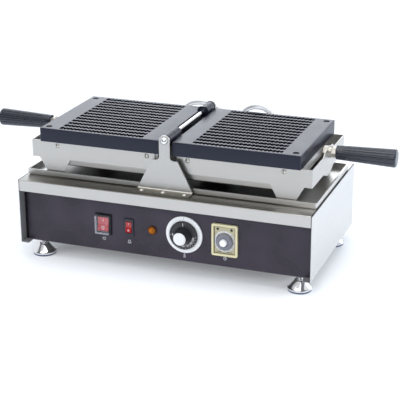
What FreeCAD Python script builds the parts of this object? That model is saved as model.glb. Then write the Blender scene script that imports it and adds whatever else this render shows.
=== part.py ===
import FreeCAD, Part
import math
import os

# Double waffle cone maker: two baking plates, hinged on one shaft, open flat over a stainless base.
# Millimetres, X to the right, Y to the back, Z up, origin on the table under the middle of the base.
V = FreeCAD.Vector

# Fits
FIT = 0.1
RUN = 0.05
REST_GAP = 0.25
TURN_GAP = 0.5

# Base box
BASE_WIDTH = 500.0
BASE_DEPTH = 266.0
BASE_HEIGHT = 110.0
SHEET = 1.2
LIP_HEIGHT = 19.0
SHEET_BEND = 1.1
FLANGE_WIDTH = 14.0
PANEL_RECESS = 17.0
PANEL_THICK = 2.0
VENT_COUNT = 9
VENT_LENGTH = 34.0
VENT_WIDTH = 4.0
VENT_PITCH = 9.0
VENT_X = 120.0
BASE_SCREW_RADIUS = 2.0
BASE_SCREW_PITCH = 80.0

# Levelling feet
FOOT_HEIGHT = 28.0
FOOT_RADIUS = 20.0
FOOT_FROM_SIDE = 26.0
FOOT_FROM_FRONT = 32.0
FOOT_TOP_GAP = 9.5
PAD_THICK = 3.0
PAD_INSET = 0.9
CUP_BRIM = 3.0
CUP_TOP_RADIUS = 8.0
STUD_RADIUS = 5.0
BOSS_RADIUS = 9.0
BOSS_HEIGHT = 14.0
STUD_ABOVE_BOSS = 6.0

# Drip tray
TRAY_SIDE_MARGIN = 2.0
TRAY_STRIP = 31.5
TRAY_HEIGHT = 9.8
TRAY_SHEET = 0.8
TRAY_HEM = 2.8
TRAY_HEM_GAP = 2.0
TRAY_CORNER = 2.4

# Hinge
HINGE_HEIGHT = 85.3
SHAFT_RADIUS = 6.0
BRACKET_TRAY_GAP = 3.0
BRACKET_SHEET = 3.0
BRACKET_FLANGE = 15.5
BRACKET_HALF = 47.0
BRACKET_BEND = 3.0
SHOULDER_HALF = 22.0
SHOULDER_HEIGHT = 53.0
NECK_HALF = 9.1
NECK_FILLET = 6.0
RIVET_PITCH = 36.5
RIVET_RADIUS = 2.4
RIVET_HEAD_RADIUS = 4.6
RIVET_HEAD_HEIGHT = 2.4
RIVET_TAIL_HEIGHT = 1.6
END_BOLT_RADIUS = 4.0
END_BOLT_DEPTH = 14.0
END_BOLT_HEAD_RADIUS = 6.8
END_BOLT_HEAD_HEIGHT = 6.0
LUG_RADIUS = 8.5
LUG_FRONT_LENGTH = 23.5
LUG_REAR_LENGTH = 15.5
LUG_GAP = 0.6
LUG_PLATE_INSET = 1.0

# Baking plates
PLATE_THICK = 22.7
CLOSED_GAP = 4.2
PLATE_INNER = 11.0
PLATE_SLOT = 17.9
PLATE_BRACKET_GAP = 2.1
PLATE_EDGE = 1.2
GRID_INNER_MARGIN = 31.5
GRID_OUTER_MARGIN = 31.8
GRID_SIDE_MARGIN = 10.0
GROOVE_PITCH = 15.05
GROOVE_WIDTH = 7.4
GROOVE_FLOOR = 2.6
GROOVE_DEPTH = 3.4
PLATE_SCREW_FROM_END = 11.0
PLATE_SCREW_FROM_SIDE = 13.0
PLATE_SCREW_RADIUS = 2.5
PLATE_SCREW_HEAD = 4.4
PLATE_SCREW_WELL = 4.9
PLATE_SCREW_SINK = 1.2
PLATE_SCREW_CONE = 2.4
PLATE_SCREW_TAIL = 6.0

# Plate frames
FRAME_SHEET = 1.2
FRAME_TRAY_MARGIN = 8.8
FRAME_TRAY_CLEARANCE = 1.7
FRAME_INNER = 21.0
FRAME_HEIGHT = 29.0
LEDGE_WIDTH = 14.0
TAB_TOP = (12.6, 68.2)
TAB_FOOT = (30.2, 52.2)
END_RISE = 7.0
END_RISE_HALF = (22.0, 33.0)
END_DROP = 8.5
END_DROP_HALF = (9.0, 32.0)
WALL_SCREW_X = 35.0
WALL_SCREW_FROM_END = 45.7
WALL_SCREW_BELOW_PLATE = 7.1
WALL_SCREW_RADIUS = 2.0
WALL_SCREW_HEAD = 4.0
WALL_SCREW_HEAD_HEIGHT = 2.2

# Heaters
TUB_SHEET = 1.0
TUB_INNER = 16.0
TUB_END_MARGIN = 16.3
TUB_FRAME_GAP = 0.6
TUB_DEPTH = 39.7
TUB_TAPER = 2.0
HEATER_RADIUS = 4.0
HEATER_GAP = 0.3
HEATER_FROM_TUB = 30.0
HEATER_END_MARGIN = 15.0
HEATER_TAIL = 12.0
INSULATION_MARGIN = 2.0

# Handles
HANDLE_LENGTH = 97.0
HANDLE_ROOT_RADIUS = 11.5
HANDLE_END_RADIUS = 14.8
HANDLE_END_ROUND = 5.0
HANDLE_STUD_RADIUS = 5.0
HANDLE_STUD_INSIDE = 70.0
HANDLE_NUT_RADIUS = 9.2
HANDLE_NUT_HEIGHT = 7.0
HANDLE_WASHER_RADIUS = 10.0
HANDLE_WASHER_THICK = 5.3
HANDLE_ABOVE_PLATE_BOTTOM = 1.0
FLUTE_COUNT = 12
FLUTE_RADIUS = 2.6
FLUTE_DEPTH = 1.1
FLUTE_ROOT_MARGIN = 9.0

# Heater leads: routes chosen by hand, from the bush on the cover to the gland on the frame
LEAD_RADIUS = 4.0
RIGHT_BUSH_X = 112.0
RIGHT_BUSH_FROM_REAR = 12.0
LEFT_BUSH_X = 59.0
LEFT_BUSH_FROM_REAR = 10.0
BUSH_HEIGHT = 8.0
BUSH_RADIUS = 9.0
BUSH_NECK = 6.5
BUSH_TAIL = 5.0
GLAND_X = 56.0
GLAND_REACH = 15.0
GLAND_DROP = 45.8
GLAND_RADIUS = 6.5
GLAND_RISE = 7.0
GLAND_NUT_RADIUS = 9.5
GLAND_NUT_THICK = 4.0
RIGHT_LEAD = [
    (112.0, 121.0, 146.0),
    (112.0, 121.0, 174.0),
    (113.5, 120.0, 210.0),
    (96.5, 118.0, 227.0),
    (72.5, 115.0, 227.0),
    (56.0, 112.0, 210.0),
    (56.0, 112.0, 184.5),
]
LEFT_LEAD = [
    (59.0, 123.0, 146.0),
    (59.0, 123.0, 168.0),
    (38.0, 125.5, 190.0),
    (8.0, 127.0, 214.0),
    (-16.0, 124.0, 223.5),
    (-40.0, 118.0, 223.5),
    (-56.0, 112.0, 207.5),
    (-56.0, 112.0, 184.5),
]
BEND_SHARE = 0.46

# Controls on the front panel
POWER_X = -105.0
POWER_BEZEL = (28.5, 35.6)
POWER_BODY = (24.0, 31.0)
POWER_ROCKER = (19.0, 24.6)
ALARM_X = -60.0
ALARM_BEZEL = (16.5, 29.5)
ALARM_BODY = (14.5, 25.5)
ALARM_ROCKER = (10.0, 19.7)
BEZEL_THICK = 2.5
BEZEL_ROUND = 1.0
SWITCH_DEPTH = 26.0
ROCKER_GAP = 0.2
ROCKER_RISE = 5.0
ROCKER_DISH = 1.6
ROCKER_BACK = 4.5
ROCKER_PIVOT_DEPTH = 1.0
ROCKER_TILT = 7.0
ROCKER_PIN_RADIUS = 1.2
ROCKER_PIN_LENGTH = 1.4
POCKET_DEPTH = 9.0
SPLASH_SIZE = (25.0, 31.6)
SPLASH_RISE = 8.0
SPLASH_WALL = 0.8
SPLASH_ROUND = 2.5
LAMP_X = -19.3
LAMP_RADIUS = 7.3
LAMP_BRIM = 2.0
LAMP_DOME = 3.5
LAMP_DOME_RADIUS = 6.3
LAMP_BODY_RADIUS = 5.0
LAMP_DEPTH = 22.0
DIAL_X = 35.8
DIAL_BEZEL_RADIUS = 31.0
DIAL_BEZEL_THICK = 2.0
DIAL_SKIRT_RADIUS = 23.75
DIAL_SKIRT_THICK = 4.0
DIAL_SKIRT_ROUND = 1.5
DIAL_HUB_RADII = (15.0, 10.5)
DIAL_CAP_RADIUS = 9.0
DIAL_CAP_THICK = 1.5
DIAL_HEIGHT = 20.0
SPINDLE_RADIUS = 3.0
SPINDLE_DEPTH = 10.0
THERMOSTAT_SIZE = (36.0, 30.0, 36.0)
TIMER_X = 104.6
TIMER_FRAME = (43.5, 54.0)
TIMER_FRAME_THICK = 4.0
TIMER_FRAME_CORNER = 3.0
TIMER_BODY = (36.0, 46.0)
TIMER_FACE_RISE = 2.0
TIMER_DEPTH = 34.0
TIMER_DIAL_DROP = 2.0
TIMER_RING_RADIUS = 14.0
TIMER_RING_THICK = 5.0
TIMER_CAP_RADIUS = 7.0
TIMER_CAP_RISE = 4.0
TIMER_CAP_ROUND = 1.5

# Inner electrics and the mains inlet
BUZZER_RADIUS = 12.0
BUZZER_HEIGHT = 10.0
BUZZER_PLACE = (-60.0, -40.0)
BLOCK_SIZE = (70.0, 22.0, 18.0)
BLOCK_PLACE = (0.0, 50.0)
CORD_GLAND_X = -150.0
CORD_GLAND_HEIGHT = 45.0
CORD_GLAND_RADIUS = 8.0
CORD_GLAND_NUT_RADIUS = 12.0
CORD_GLAND_REACH = 4.5
CORD_GLAND_NUT = 5.0
CORD_BORE = 4.0

# Places worked out from the sizes above
HALF_WIDTH = BASE_WIDTH / 2
HALF_DEPTH = BASE_DEPTH / 2
BASE_BOTTOM = FOOT_HEIGHT
BASE_TOP = BASE_BOTTOM + BASE_HEIGHT
COVER_UNDER = BASE_TOP - SHEET
LIP_BOTTOM = BASE_TOP - LIP_HEIGHT
INSIDE_X = HALF_WIDTH - SHEET - FIT
PANEL_FRONT = -HALF_DEPTH + PANEL_RECESS
PANEL_BACK = PANEL_FRONT + PANEL_THICK
PANEL_TOP = COVER_UNDER - RIVET_TAIL_HEIGHT - FIT
REAR_OUT = HALF_DEPTH - SHEET
REAR_IN = REAR_OUT - SHEET
FLOOR_UNDER = BASE_BOTTOM + SHEET
FLOOR_TOP = FLOOR_UNDER + SHEET
CONTROL_Z = BASE_BOTTOM + (BASE_HEIGHT - LIP_HEIGHT) / 2
FOOT_X = HALF_WIDTH - FOOT_FROM_SIDE
FOOT_Y = HALF_DEPTH - FOOT_FROM_FRONT
TRAY_X = HALF_WIDTH - TRAY_SIDE_MARGIN
TRAY_Y = HALF_DEPTH - TRAY_STRIP
TRAY_FLOOR = BASE_TOP + TRAY_SHEET
TRAY_INNER_Y = TRAY_Y - TRAY_HEM
BRACKET_IN = TRAY_Y + BRACKET_TRAY_GAP
BRACKET_OUT = BRACKET_IN + BRACKET_SHEET
RIVET_Y = BRACKET_OUT + BRACKET_BEND + (BRACKET_FLANGE - BRACKET_BEND) / 2
HINGE_Z = BASE_TOP + HINGE_HEIGHT
PLATE_TOP = HINGE_Z - CLOSED_GAP / 2
PLATE_BOTTOM = PLATE_TOP - PLATE_THICK
PLATE_Y = BRACKET_IN - PLATE_BRACKET_GAP
FRAME_OUTER = TRAY_X - FRAME_TRAY_MARGIN
FRAME_Y = TRAY_INNER_Y - FRAME_TRAY_CLEARANCE
FRAME_BOTTOM = PLATE_BOTTOM - FRAME_HEIGHT
LEDGE_UNDER = PLATE_BOTTOM - FRAME_SHEET
PLATE_OUTER = FRAME_OUTER - PLATE_SLOT
PLATE_SCREW_X = PLATE_OUTER - PLATE_SCREW_FROM_END
PLATE_SCREW_Y = PLATE_Y - PLATE_SCREW_FROM_SIDE
TUB_OUTER = PLATE_OUTER - TUB_END_MARGIN
TUB_Y = FRAME_Y - FRAME_SHEET - TUB_FRAME_GAP
TUB_FLOOR = PLATE_BOTTOM - TUB_DEPTH
HEATER_Z = PLATE_BOTTOM - HEATER_GAP - HEATER_RADIUS
WALL_SCREW_Z = PLATE_BOTTOM - WALL_SCREW_BELOW_PLATE
HANDLE_Z = PLATE_BOTTOM + HANDLE_ABOVE_PLATE_BOTTOM
HANDLE_ROOT = FRAME_OUTER + HANDLE_WASHER_THICK + HANDLE_NUT_HEIGHT
GLAND_Y = FRAME_Y + GLAND_REACH
GLAND_Z = HINGE_Z - GLAND_DROP


def block(x, y, z):
    """A block between three (low, high) ranges."""
    return Part.makeBox(x[1] - x[0], y[1] - y[0], z[1] - z[0], V(x[0], y[0], z[0]))


def centred(size, x, y, z):
    """A block of (width, height) about x and z, between the two y values."""
    wide, high = size
    return block((x - wide / 2, x + wide / 2), y, (z - high / 2, z + high / 2))


def rod(radius, start, end):
    """A round bar between two points."""
    run = end - start
    return Part.makeCylinder(radius, run.Length, start, run)


def taper(start_radius, end_radius, start, end):
    """A cone between two points."""
    run = end - start
    return Part.makeCone(start_radius, end_radius, run.Length, start, run)


def dome(radius, height, base, up):
    """A round cap of a sphere on its flat base, its half section turned about an axis along Y or Z."""
    ball = (radius ** 2 + height ** 2) / (2 * height)
    side = V(1, 0, 0)
    centre = base + up * (height - ball)
    half_way = math.asin(radius / ball) / 2
    rim = base + side * radius
    top = base + up * height
    middle = centre + side * (ball * math.sin(half_way)) + up * (ball * math.cos(half_way))
    outline = [Part.LineSegment(base, rim), Part.Arc(rim, middle, top), Part.LineSegment(top, base)]
    section = Part.Face(Part.Wire([curve.toShape() for curve in outline]))
    return section.revolve(base, up, 360)


def prism(points, run):
    """A flat outline carried along a straight run."""
    return Part.Face(Part.makePolygon(points + points[:1])).extrude(run)


def hexagon(radius, start, end):
    """A nut blank between two points along X or Y, measured over its corners."""
    run = end - start
    up = V(0, 0, 1)
    side = up.cross(run).normalize()
    corners = []
    for turn in range(6):
        angle = math.radians(60 * turn)
        corners.append(start + side * (radius * math.cos(angle)) + up * (radius * math.sin(angle)))
    return prism(corners, run)


def rounded(shape, radius, chosen):
    """The shape with the edges that chosen(edge) picks rounded over."""
    return shape.makeFillet(radius, [edge for edge in shape.Edges if chosen(edge)])


def runs_along(edge, axis):
    """Whether an edge is straight and parallel to an axis."""
    line = edge.Vertexes[-1].Point - edge.Vertexes[0].Point
    return line.Length > 0 and abs(abs(line.normalize() * axis) - 1) < 1e-6


def near(edge, **place):
    """Whether an edge's middle has the given coordinates."""
    middle = edge.CenterOfMass
    return all(abs(getattr(middle, name) - value) < 1e-3 for name, value in place.items())


def upright_box(x, y, z, corner):
    """A block with its four upright edges rounded."""
    return rounded(block(x, y, z), corner, lambda edge: runs_along(edge, V(0, 0, 1)))


def to_left(shape):
    """The mirror image of a right-hand piece."""
    return shape.mirror(V(0, 0, 0), V(1, 0, 0))


def both_ways(value):
    """A value on each side of zero."""
    return (-value, value)


def bend_radii(points):
    """The radius of the arc at each inner point of a route, as large as its two runs allow."""
    radii = []
    for before, here, after in zip(points, points[1:], points[2:]):
        turn = (here - before).getAngle(after - here)
        shorter = min((here - before).Length, (after - here).Length)
        radii.append(BEND_SHARE * shorter / math.tan(turn / 2))
    return radii


def rounded_wire(points, radii):
    """Straight runs joined by tangent arcs."""
    edges = []
    start = points[0]
    for before, here, after, radius in zip(points, points[1:], points[2:], radii):
        back = (before - here).normalize()
        ahead = (after - here).normalize()
        turn = math.pi - back.getAngle(ahead)
        reach = radius * math.tan(turn / 2)
        middle = (back + ahead).normalize()
        nearest = radius / math.cos(turn / 2) - radius
        enter = here + back * reach
        leave = here + ahead * reach
        edges.append(Part.LineSegment(start, enter).toShape())
        edges.append(Part.Arc(enter, here + middle * nearest, leave).toShape())
        start = leave
    edges.append(Part.LineSegment(start, points[-1]).toShape())
    return Part.Wire(edges)


def tube(points, radii, radius):
    """A round bar along a route."""
    path = rounded_wire(points, radii)
    circle = Part.makeCircle(radius, points[0], points[1] - points[0])
    return path.makePipeShell([Part.Wire([circle])], True, False)


def four_feet():
    """The name and sign of each corner of the base."""
    corners = {}
    for depth, sign_y in (("front", -1), ("rear", 1)):
        for side, sign_x in (("left", -1), ("right", 1)):
            corners[f"{depth}_{side}"] = (sign_x, sign_y)
    return corners


def lead_ends():
    """Where each heater lead leaves the cover."""
    return [V(RIGHT_BUSH_X, HALF_DEPTH - RIGHT_BUSH_FROM_REAR, BASE_TOP),
            V(LEFT_BUSH_X, HALF_DEPTH - LEFT_BUSH_FROM_REAR, BASE_TOP)]


def rivet_places():
    """The bracket rivets, as points on the cover."""
    return [V(x, y, BASE_TOP) for y in both_ways(RIVET_Y) for x in (-RIVET_PITCH, 0, RIVET_PITCH)]


def top_cover():
    """The cover sheet with its front and rear lip, its rivet holes and its lead holes."""
    sheet = block(both_ways(HALF_WIDTH), both_ways(HALF_DEPTH), (COVER_UNDER, BASE_TOP))
    for edge_y in (-HALF_DEPTH, HALF_DEPTH - SHEET):
        sheet = sheet.fuse(block(both_ways(INSIDE_X), (edge_y, edge_y + SHEET), (LIP_BOTTOM, BASE_TOP)))
    sheet = sheet.removeSplitter()
    for place in rivet_places():
        sheet = sheet.cut(rod(RIVET_RADIUS + FIT, place - V(0, 0, SHEET), place))
    for hole in lead_ends():
        sheet = sheet.cut(rod(BUSH_NECK + FIT, hole - V(0, 0, SHEET), hole))
    return rounded(sheet, SHEET_BEND, lambda edge: runs_along(edge, V(1, 0, 0))
                   and near(edge, z=BASE_TOP) and abs(edge.CenterOfMass.y) > HALF_DEPTH - FIT)


def base_screw_places():
    """The screws that hold the bottom plate on the side panels' flanges."""
    x = HALF_WIDTH - FLANGE_WIDTH / 2
    rows = (-BASE_SCREW_PITCH, 0, BASE_SCREW_PITCH)
    return [V(side, y, BASE_BOTTOM) for side in both_ways(x) for y in rows]


def side_panel():
    """The right side panel with its inward bottom flange."""
    wall = block((HALF_WIDTH - SHEET, HALF_WIDTH), both_ways(HALF_DEPTH), (BASE_BOTTOM, COVER_UNDER))
    flange = block((HALF_WIDTH - FLANGE_WIDTH, HALF_WIDTH), both_ways(HALF_DEPTH), (BASE_BOTTOM, FLOOR_UNDER))
    panel = wall.fuse(flange).removeSplitter()
    for place in base_screw_places():
        panel = panel.cut(rod(BASE_SCREW_RADIUS + FIT, place, place + V(0, 0, SHEET)))
    return rounded(panel, SHEET_BEND, lambda edge: runs_along(edge, V(0, 1, 0))
                   and near(edge, x=HALF_WIDTH, z=BASE_BOTTOM))


def upright_sheet(low_y, high_y, top):
    """A panel between the side panels, notched over their flanges."""
    notch = HALF_WIDTH - FLANGE_WIDTH - FIT
    sheet = block(both_ways(notch), (low_y, high_y), (BASE_BOTTOM, top))
    return sheet.fuse(block(both_ways(INSIDE_X), (low_y, high_y), (FLOOR_UNDER, top))).removeSplitter()


def front_panel():
    """The control panel with a cutout for each control, clear of the rivets above it."""
    panel = upright_sheet(PANEL_FRONT, PANEL_BACK, PANEL_TOP)
    span = (PANEL_FRONT, PANEL_BACK)
    for x, size in ((POWER_X, POWER_BODY), (ALARM_X, ALARM_BODY), (TIMER_X, TIMER_BODY)):
        cutout = (size[0] + 2 * FIT, size[1] + 2 * FIT)
        panel = panel.cut(centred(cutout, x, span, CONTROL_Z))
    for x, radius in ((LAMP_X, LAMP_BODY_RADIUS), (DIAL_X, SPINDLE_RADIUS)):
        panel = panel.cut(rod(radius + FIT, V(x, span[0], CONTROL_Z), V(x, span[1], CONTROL_Z)))
    return panel


def cord_gland_axis(y):
    """A point on the axis of the mains inlet."""
    return V(CORD_GLAND_X, y, BASE_BOTTOM + CORD_GLAND_HEIGHT)


def rear_panel():
    """The rear panel with rows of vents and the hole for the mains inlet."""
    panel = upright_sheet(REAR_IN, REAR_OUT, COVER_UNDER)
    first = CONTROL_Z - VENT_PITCH * (VENT_COUNT - 1) / 2
    slots = []
    for x in (0.0, VENT_X):
        for row in range(VENT_COUNT):
            slots.append(centred((VENT_LENGTH, VENT_WIDTH), x, (REAR_IN, REAR_OUT), first + row * VENT_PITCH))
    panel = panel.cut(Part.makeCompound(slots))
    return panel.cut(rod(CORD_GLAND_RADIUS + FIT, cord_gland_axis(REAR_IN), cord_gland_axis(REAR_OUT)))


def bottom_plate():
    """The floor of the base, with a threaded boss over each foot."""
    plate = block(both_ways(INSIDE_X), (PANEL_BACK, REAR_IN), (FLOOR_UNDER, FLOOR_TOP))
    for sign_x, sign_y in four_feet().values():
        foot = V(sign_x * FOOT_X, sign_y * FOOT_Y, FLOOR_TOP)
        plate = plate.fuse(rod(BOSS_RADIUS, foot, foot + V(0, 0, BOSS_HEIGHT)))
    for sign_x, sign_y in four_feet().values():
        foot = V(sign_x * FOOT_X, sign_y * FOOT_Y, FLOOR_UNDER)
        plate = plate.cut(rod(STUD_RADIUS + RUN, foot, foot + V(0, 0, SHEET + BOSS_HEIGHT)))
    for place in base_screw_places():
        plate = plate.cut(rod(BASE_SCREW_RADIUS + FIT, place + V(0, 0, SHEET), place + V(0, 0, 2 * SHEET)))
    return plate


def base_screws():
    """Pan screws under the side flanges, each with its nut above the bottom plate."""
    screws = []
    head = BASE_SCREW_RADIUS
    for place in base_screw_places():
        shank = rod(BASE_SCREW_RADIUS, place, place + V(0, 0, 2 * SHEET + head))
        pan = rod(2 * head, place - V(0, 0, head), place)
        nut = rod(2 * head, place + V(0, 0, 2 * SHEET), place + V(0, 0, 2 * SHEET + head))
        screws.append(shank.fuse(pan).fuse(nut).removeSplitter())
    return Part.makeCompound(screws)


def foot_cup(sign_x, sign_y):
    """A chrome cup on its threaded stud."""
    foot = V(sign_x * FOOT_X, sign_y * FOOT_Y, 0)
    cup_top = FOOT_HEIGHT - FOOT_TOP_GAP
    brim = PAD_THICK + CUP_BRIM
    cup = rod(FOOT_RADIUS, foot + V(0, 0, PAD_THICK), foot + V(0, 0, brim))
    cup = cup.fuse(taper(FOOT_RADIUS, CUP_TOP_RADIUS, foot + V(0, 0, brim), foot + V(0, 0, cup_top)))
    stud_top = FLOOR_TOP + BOSS_HEIGHT + STUD_ABOVE_BOSS
    return cup.fuse(rod(STUD_RADIUS, foot + V(0, 0, brim), foot + V(0, 0, stud_top))).removeSplitter()


def foot_pad(sign_x, sign_y):
    """The grey pad under a cup."""
    foot = V(sign_x * FOOT_X, sign_y * FOOT_Y, 0)
    pad = rod(FOOT_RADIUS - PAD_INSET, foot, foot + V(0, 0, PAD_THICK))
    return rounded(pad, PAD_INSET, lambda edge: near(edge, z=0))


def drip_tray():
    """The tray: a shallow pan whose rim turns out and down in a hem."""
    top = BASE_TOP + TRAY_HEIGHT
    inner_x = TRAY_X - TRAY_HEM
    wall = TRAY_SHEET
    hem = upright_box(both_ways(TRAY_X), both_ways(TRAY_Y), (BASE_TOP + TRAY_HEM_GAP, top), TRAY_CORNER)
    hem = hem.cut(upright_box(both_ways(TRAY_X - wall), both_ways(TRAY_Y - wall),
                              (BASE_TOP + TRAY_HEM_GAP, top - wall), TRAY_CORNER - wall))
    pan = upright_box(both_ways(inner_x + wall), both_ways(TRAY_INNER_Y + wall),
                      (BASE_TOP, top), TRAY_CORNER - wall)
    well = upright_box(both_ways(inner_x), both_ways(TRAY_INNER_Y), (TRAY_FLOOR, top), TRAY_CORNER - 2 * wall)
    return hem.fuse(pan).cut(well).removeSplitter()


def bracket_outline(y):
    """The upright outline of a hinge bracket: broad foot, shoulders, neck and round top."""
    shoulder_z = BASE_TOP + SHOULDER_HEIGHT
    arch = math.sqrt(0.5) * NECK_FILLET
    right = [
        Part.LineSegment(V(BRACKET_HALF, y, BASE_TOP), V(BRACKET_HALF, y, BASE_TOP + BRACKET_SHEET)),
        Part.LineSegment(V(BRACKET_HALF, y, BASE_TOP + BRACKET_SHEET), V(SHOULDER_HALF, y, shoulder_z)),
        Part.LineSegment(V(SHOULDER_HALF, y, shoulder_z), V(NECK_HALF + NECK_FILLET, y, shoulder_z)),
        Part.Arc(V(NECK_HALF + NECK_FILLET, y, shoulder_z),
                 V(NECK_HALF + NECK_FILLET - arch, y, shoulder_z + NECK_FILLET - arch),
                 V(NECK_HALF, y, shoulder_z + NECK_FILLET)),
        Part.LineSegment(V(NECK_HALF, y, shoulder_z + NECK_FILLET), V(NECK_HALF, y, HINGE_Z)),
    ]
    edges = [curve.toShape() for curve in right]
    edges += [to_left(edge) for edge in edges]
    crown = Part.Arc(V(NECK_HALF, y, HINGE_Z), V(0, y, HINGE_Z + NECK_HALF), V(-NECK_HALF, y, HINGE_Z))
    edges.append(crown.toShape())
    edges.append(Part.LineSegment(V(-BRACKET_HALF, y, BASE_TOP), V(BRACKET_HALF, y, BASE_TOP)).toShape())
    return Part.Face(Part.Wire(Part.__sortEdges__(edges)))


def hinge_bracket(sign_y):
    """A bent bracket: an upright that holds the shaft, and a foot riveted to the cover."""
    plate = bracket_outline(BRACKET_IN).extrude(V(0, BRACKET_SHEET, 0))
    flange = block(both_ways(BRACKET_HALF), (BRACKET_IN, BRACKET_OUT + BRACKET_FLANGE),
                   (BASE_TOP, BASE_TOP + BRACKET_SHEET))
    bracket = plate.fuse(flange).removeSplitter()
    bracket = rounded(bracket, BRACKET_BEND, lambda edge: runs_along(edge, V(1, 0, 0))
                      and near(edge, y=BRACKET_OUT, z=BASE_TOP + BRACKET_SHEET))
    bracket = rounded(bracket, BRACKET_BEND, lambda edge: runs_along(edge, V(1, 0, 0))
                      and near(edge, y=BRACKET_IN, z=BASE_TOP))
    bracket = bracket.cut(rod(END_BOLT_RADIUS + FIT, V(0, BRACKET_IN, HINGE_Z), V(0, BRACKET_OUT, HINGE_Z)))
    for place in rivet_places():
        bracket = bracket.cut(rod(RIVET_RADIUS + FIT, place, place + V(0, 0, BRACKET_SHEET)))
    return bracket if sign_y > 0 else bracket.mirror(V(0, 0, 0), V(0, 1, 0))


def bracket_rivets():
    """Dome rivets through the bracket feet and the cover."""
    rivets = []
    for place in rivet_places():
        seat = place + V(0, 0, BRACKET_SHEET)
        tail = place - V(0, 0, SHEET)
        head = dome(RIVET_HEAD_RADIUS, RIVET_HEAD_HEIGHT, seat, V(0, 0, 1))
        set_end = rod(RIVET_HEAD_RADIUS, tail - V(0, 0, RIVET_TAIL_HEIGHT), tail)
        rivets.append(rod(RIVET_RADIUS, tail, seat).fuse(head).fuse(set_end).removeSplitter())
    return Part.makeCompound(rivets)


def hinge_shaft():
    """The shaft between the brackets, tapped at both ends."""
    shaft = rod(SHAFT_RADIUS, V(0, -BRACKET_IN, HINGE_Z), V(0, BRACKET_IN, HINGE_Z))
    for sign in (-1, 1):
        mouth = V(0, sign * BRACKET_IN, HINGE_Z)
        shaft = shaft.cut(rod(END_BOLT_RADIUS + FIT, mouth - V(0, sign * (END_BOLT_DEPTH + FIT), 0), mouth))
    return shaft


def shaft_end_bolts():
    """Dome-head bolts through the brackets into the shaft."""
    bolts = []
    for sign in (-1, 1):
        out = V(0, sign, 0)
        seat = V(0, sign * BRACKET_OUT, HINGE_Z)
        shank = rod(END_BOLT_RADIUS, seat - out * (BRACKET_SHEET + END_BOLT_DEPTH), seat)
        bolts.append(shank.fuse(dome(END_BOLT_HEAD_RADIUS, END_BOLT_HEAD_HEIGHT, seat, out)).removeSplitter())
    return Part.makeCompound(bolts)


def groove_places():
    """The grooves' middles, spread evenly about the middle of the plate."""
    each_way = math.floor((PLATE_Y - GRID_SIDE_MARGIN) / GROOVE_PITCH)
    return [GROOVE_PITCH * step for step in range(-each_way, each_way + 1)]


def baking_plate():
    """The right cast plate, with its grooves and two screw holes that are sunk below its top."""
    plate = block((PLATE_INNER, PLATE_OUTER), both_ways(PLATE_Y), (PLATE_BOTTOM, PLATE_TOP))
    plate = rounded(plate, PLATE_EDGE, lambda edge: not near(edge, z=PLATE_BOTTOM))
    start = PLATE_INNER + GRID_INNER_MARGIN
    run = V(PLATE_OUTER - GRID_OUTER_MARGIN - start, 0, 0)
    grooves = []
    for y in groove_places():
        top = both_ways(GROOVE_WIDTH / 2)
        floor = both_ways(GROOVE_FLOOR / 2)
        floor_z = PLATE_TOP - GROOVE_DEPTH
        outline = [V(start, y + top[0], PLATE_TOP), V(start, y + top[1], PLATE_TOP),
                   V(start, y + floor[1], floor_z), V(start, y + floor[0], floor_z)]
        grooves.append(prism(outline, run))
    plate = plate.cut(Part.makeCompound(grooves))
    for y in both_ways(PLATE_SCREW_Y):
        top = V(PLATE_SCREW_X, y, PLATE_TOP)
        seat = top - V(0, 0, PLATE_SCREW_SINK)
        cone_end = seat - V(0, 0, PLATE_SCREW_CONE)
        plate = plate.cut(rod(PLATE_SCREW_RADIUS + FIT, top - V(0, 0, PLATE_THICK), top))
        plate = plate.cut(rod(PLATE_SCREW_WELL, seat, top))
        plate = plate.cut(taper(PLATE_SCREW_HEAD + FIT, PLATE_SCREW_RADIUS + FIT, seat, cone_end))
    return plate


def hinge_lugs(lug_ranges):
    """Two lugs that carry the right plate on the shaft, each with a web to the plate's inner face."""
    lugs = []
    for low, high in lug_ranges:
        lug = rod(LUG_RADIUS, V(0, low, HINGE_Z), V(0, high, HINGE_Z))
        lug = lug.fuse(block((0, PLATE_INNER), (low, high), (HINGE_Z - LUG_RADIUS, PLATE_TOP - PLATE_EDGE)))
        bore = rod(SHAFT_RADIUS + RUN, V(0, low, HINGE_Z), V(0, high, HINGE_Z))
        lugs.append(lug.cut(bore).removeSplitter())
    return Part.makeCompound(lugs)


def lug_ranges():
    """The lugs' places along the shaft: outer front, inner front, inner rear and outer rear."""
    front = -PLATE_Y + LUG_PLATE_INSET
    rear = PLATE_Y - LUG_PLATE_INSET
    second_front = front + LUG_FRONT_LENGTH + LUG_GAP
    second_rear = rear - LUG_REAR_LENGTH - LUG_GAP
    return [
        (front, front + LUG_FRONT_LENGTH),
        (second_front, second_front + LUG_FRONT_LENGTH),
        (second_rear - LUG_REAR_LENGTH, second_rear),
        (rear - LUG_REAR_LENGTH, rear),
    ]


def wall_screw_places():
    """The screws through the front and rear walls of the right frame."""
    return [(V(x, sign * FRAME_Y, WALL_SCREW_Z), V(0, sign, 0))
            for sign in (-1, 1) for x in (WALL_SCREW_X, FRAME_OUTER - WALL_SCREW_FROM_END)]


def gland_hole(margin, low_y, high_y):
    """The hole in the right frame's rear wall for the lead gland's thread."""
    return rod(LEAD_RADIUS + margin, V(GLAND_X, low_y, GLAND_Z), V(GLAND_X, high_y, GLAND_Z))


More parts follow.
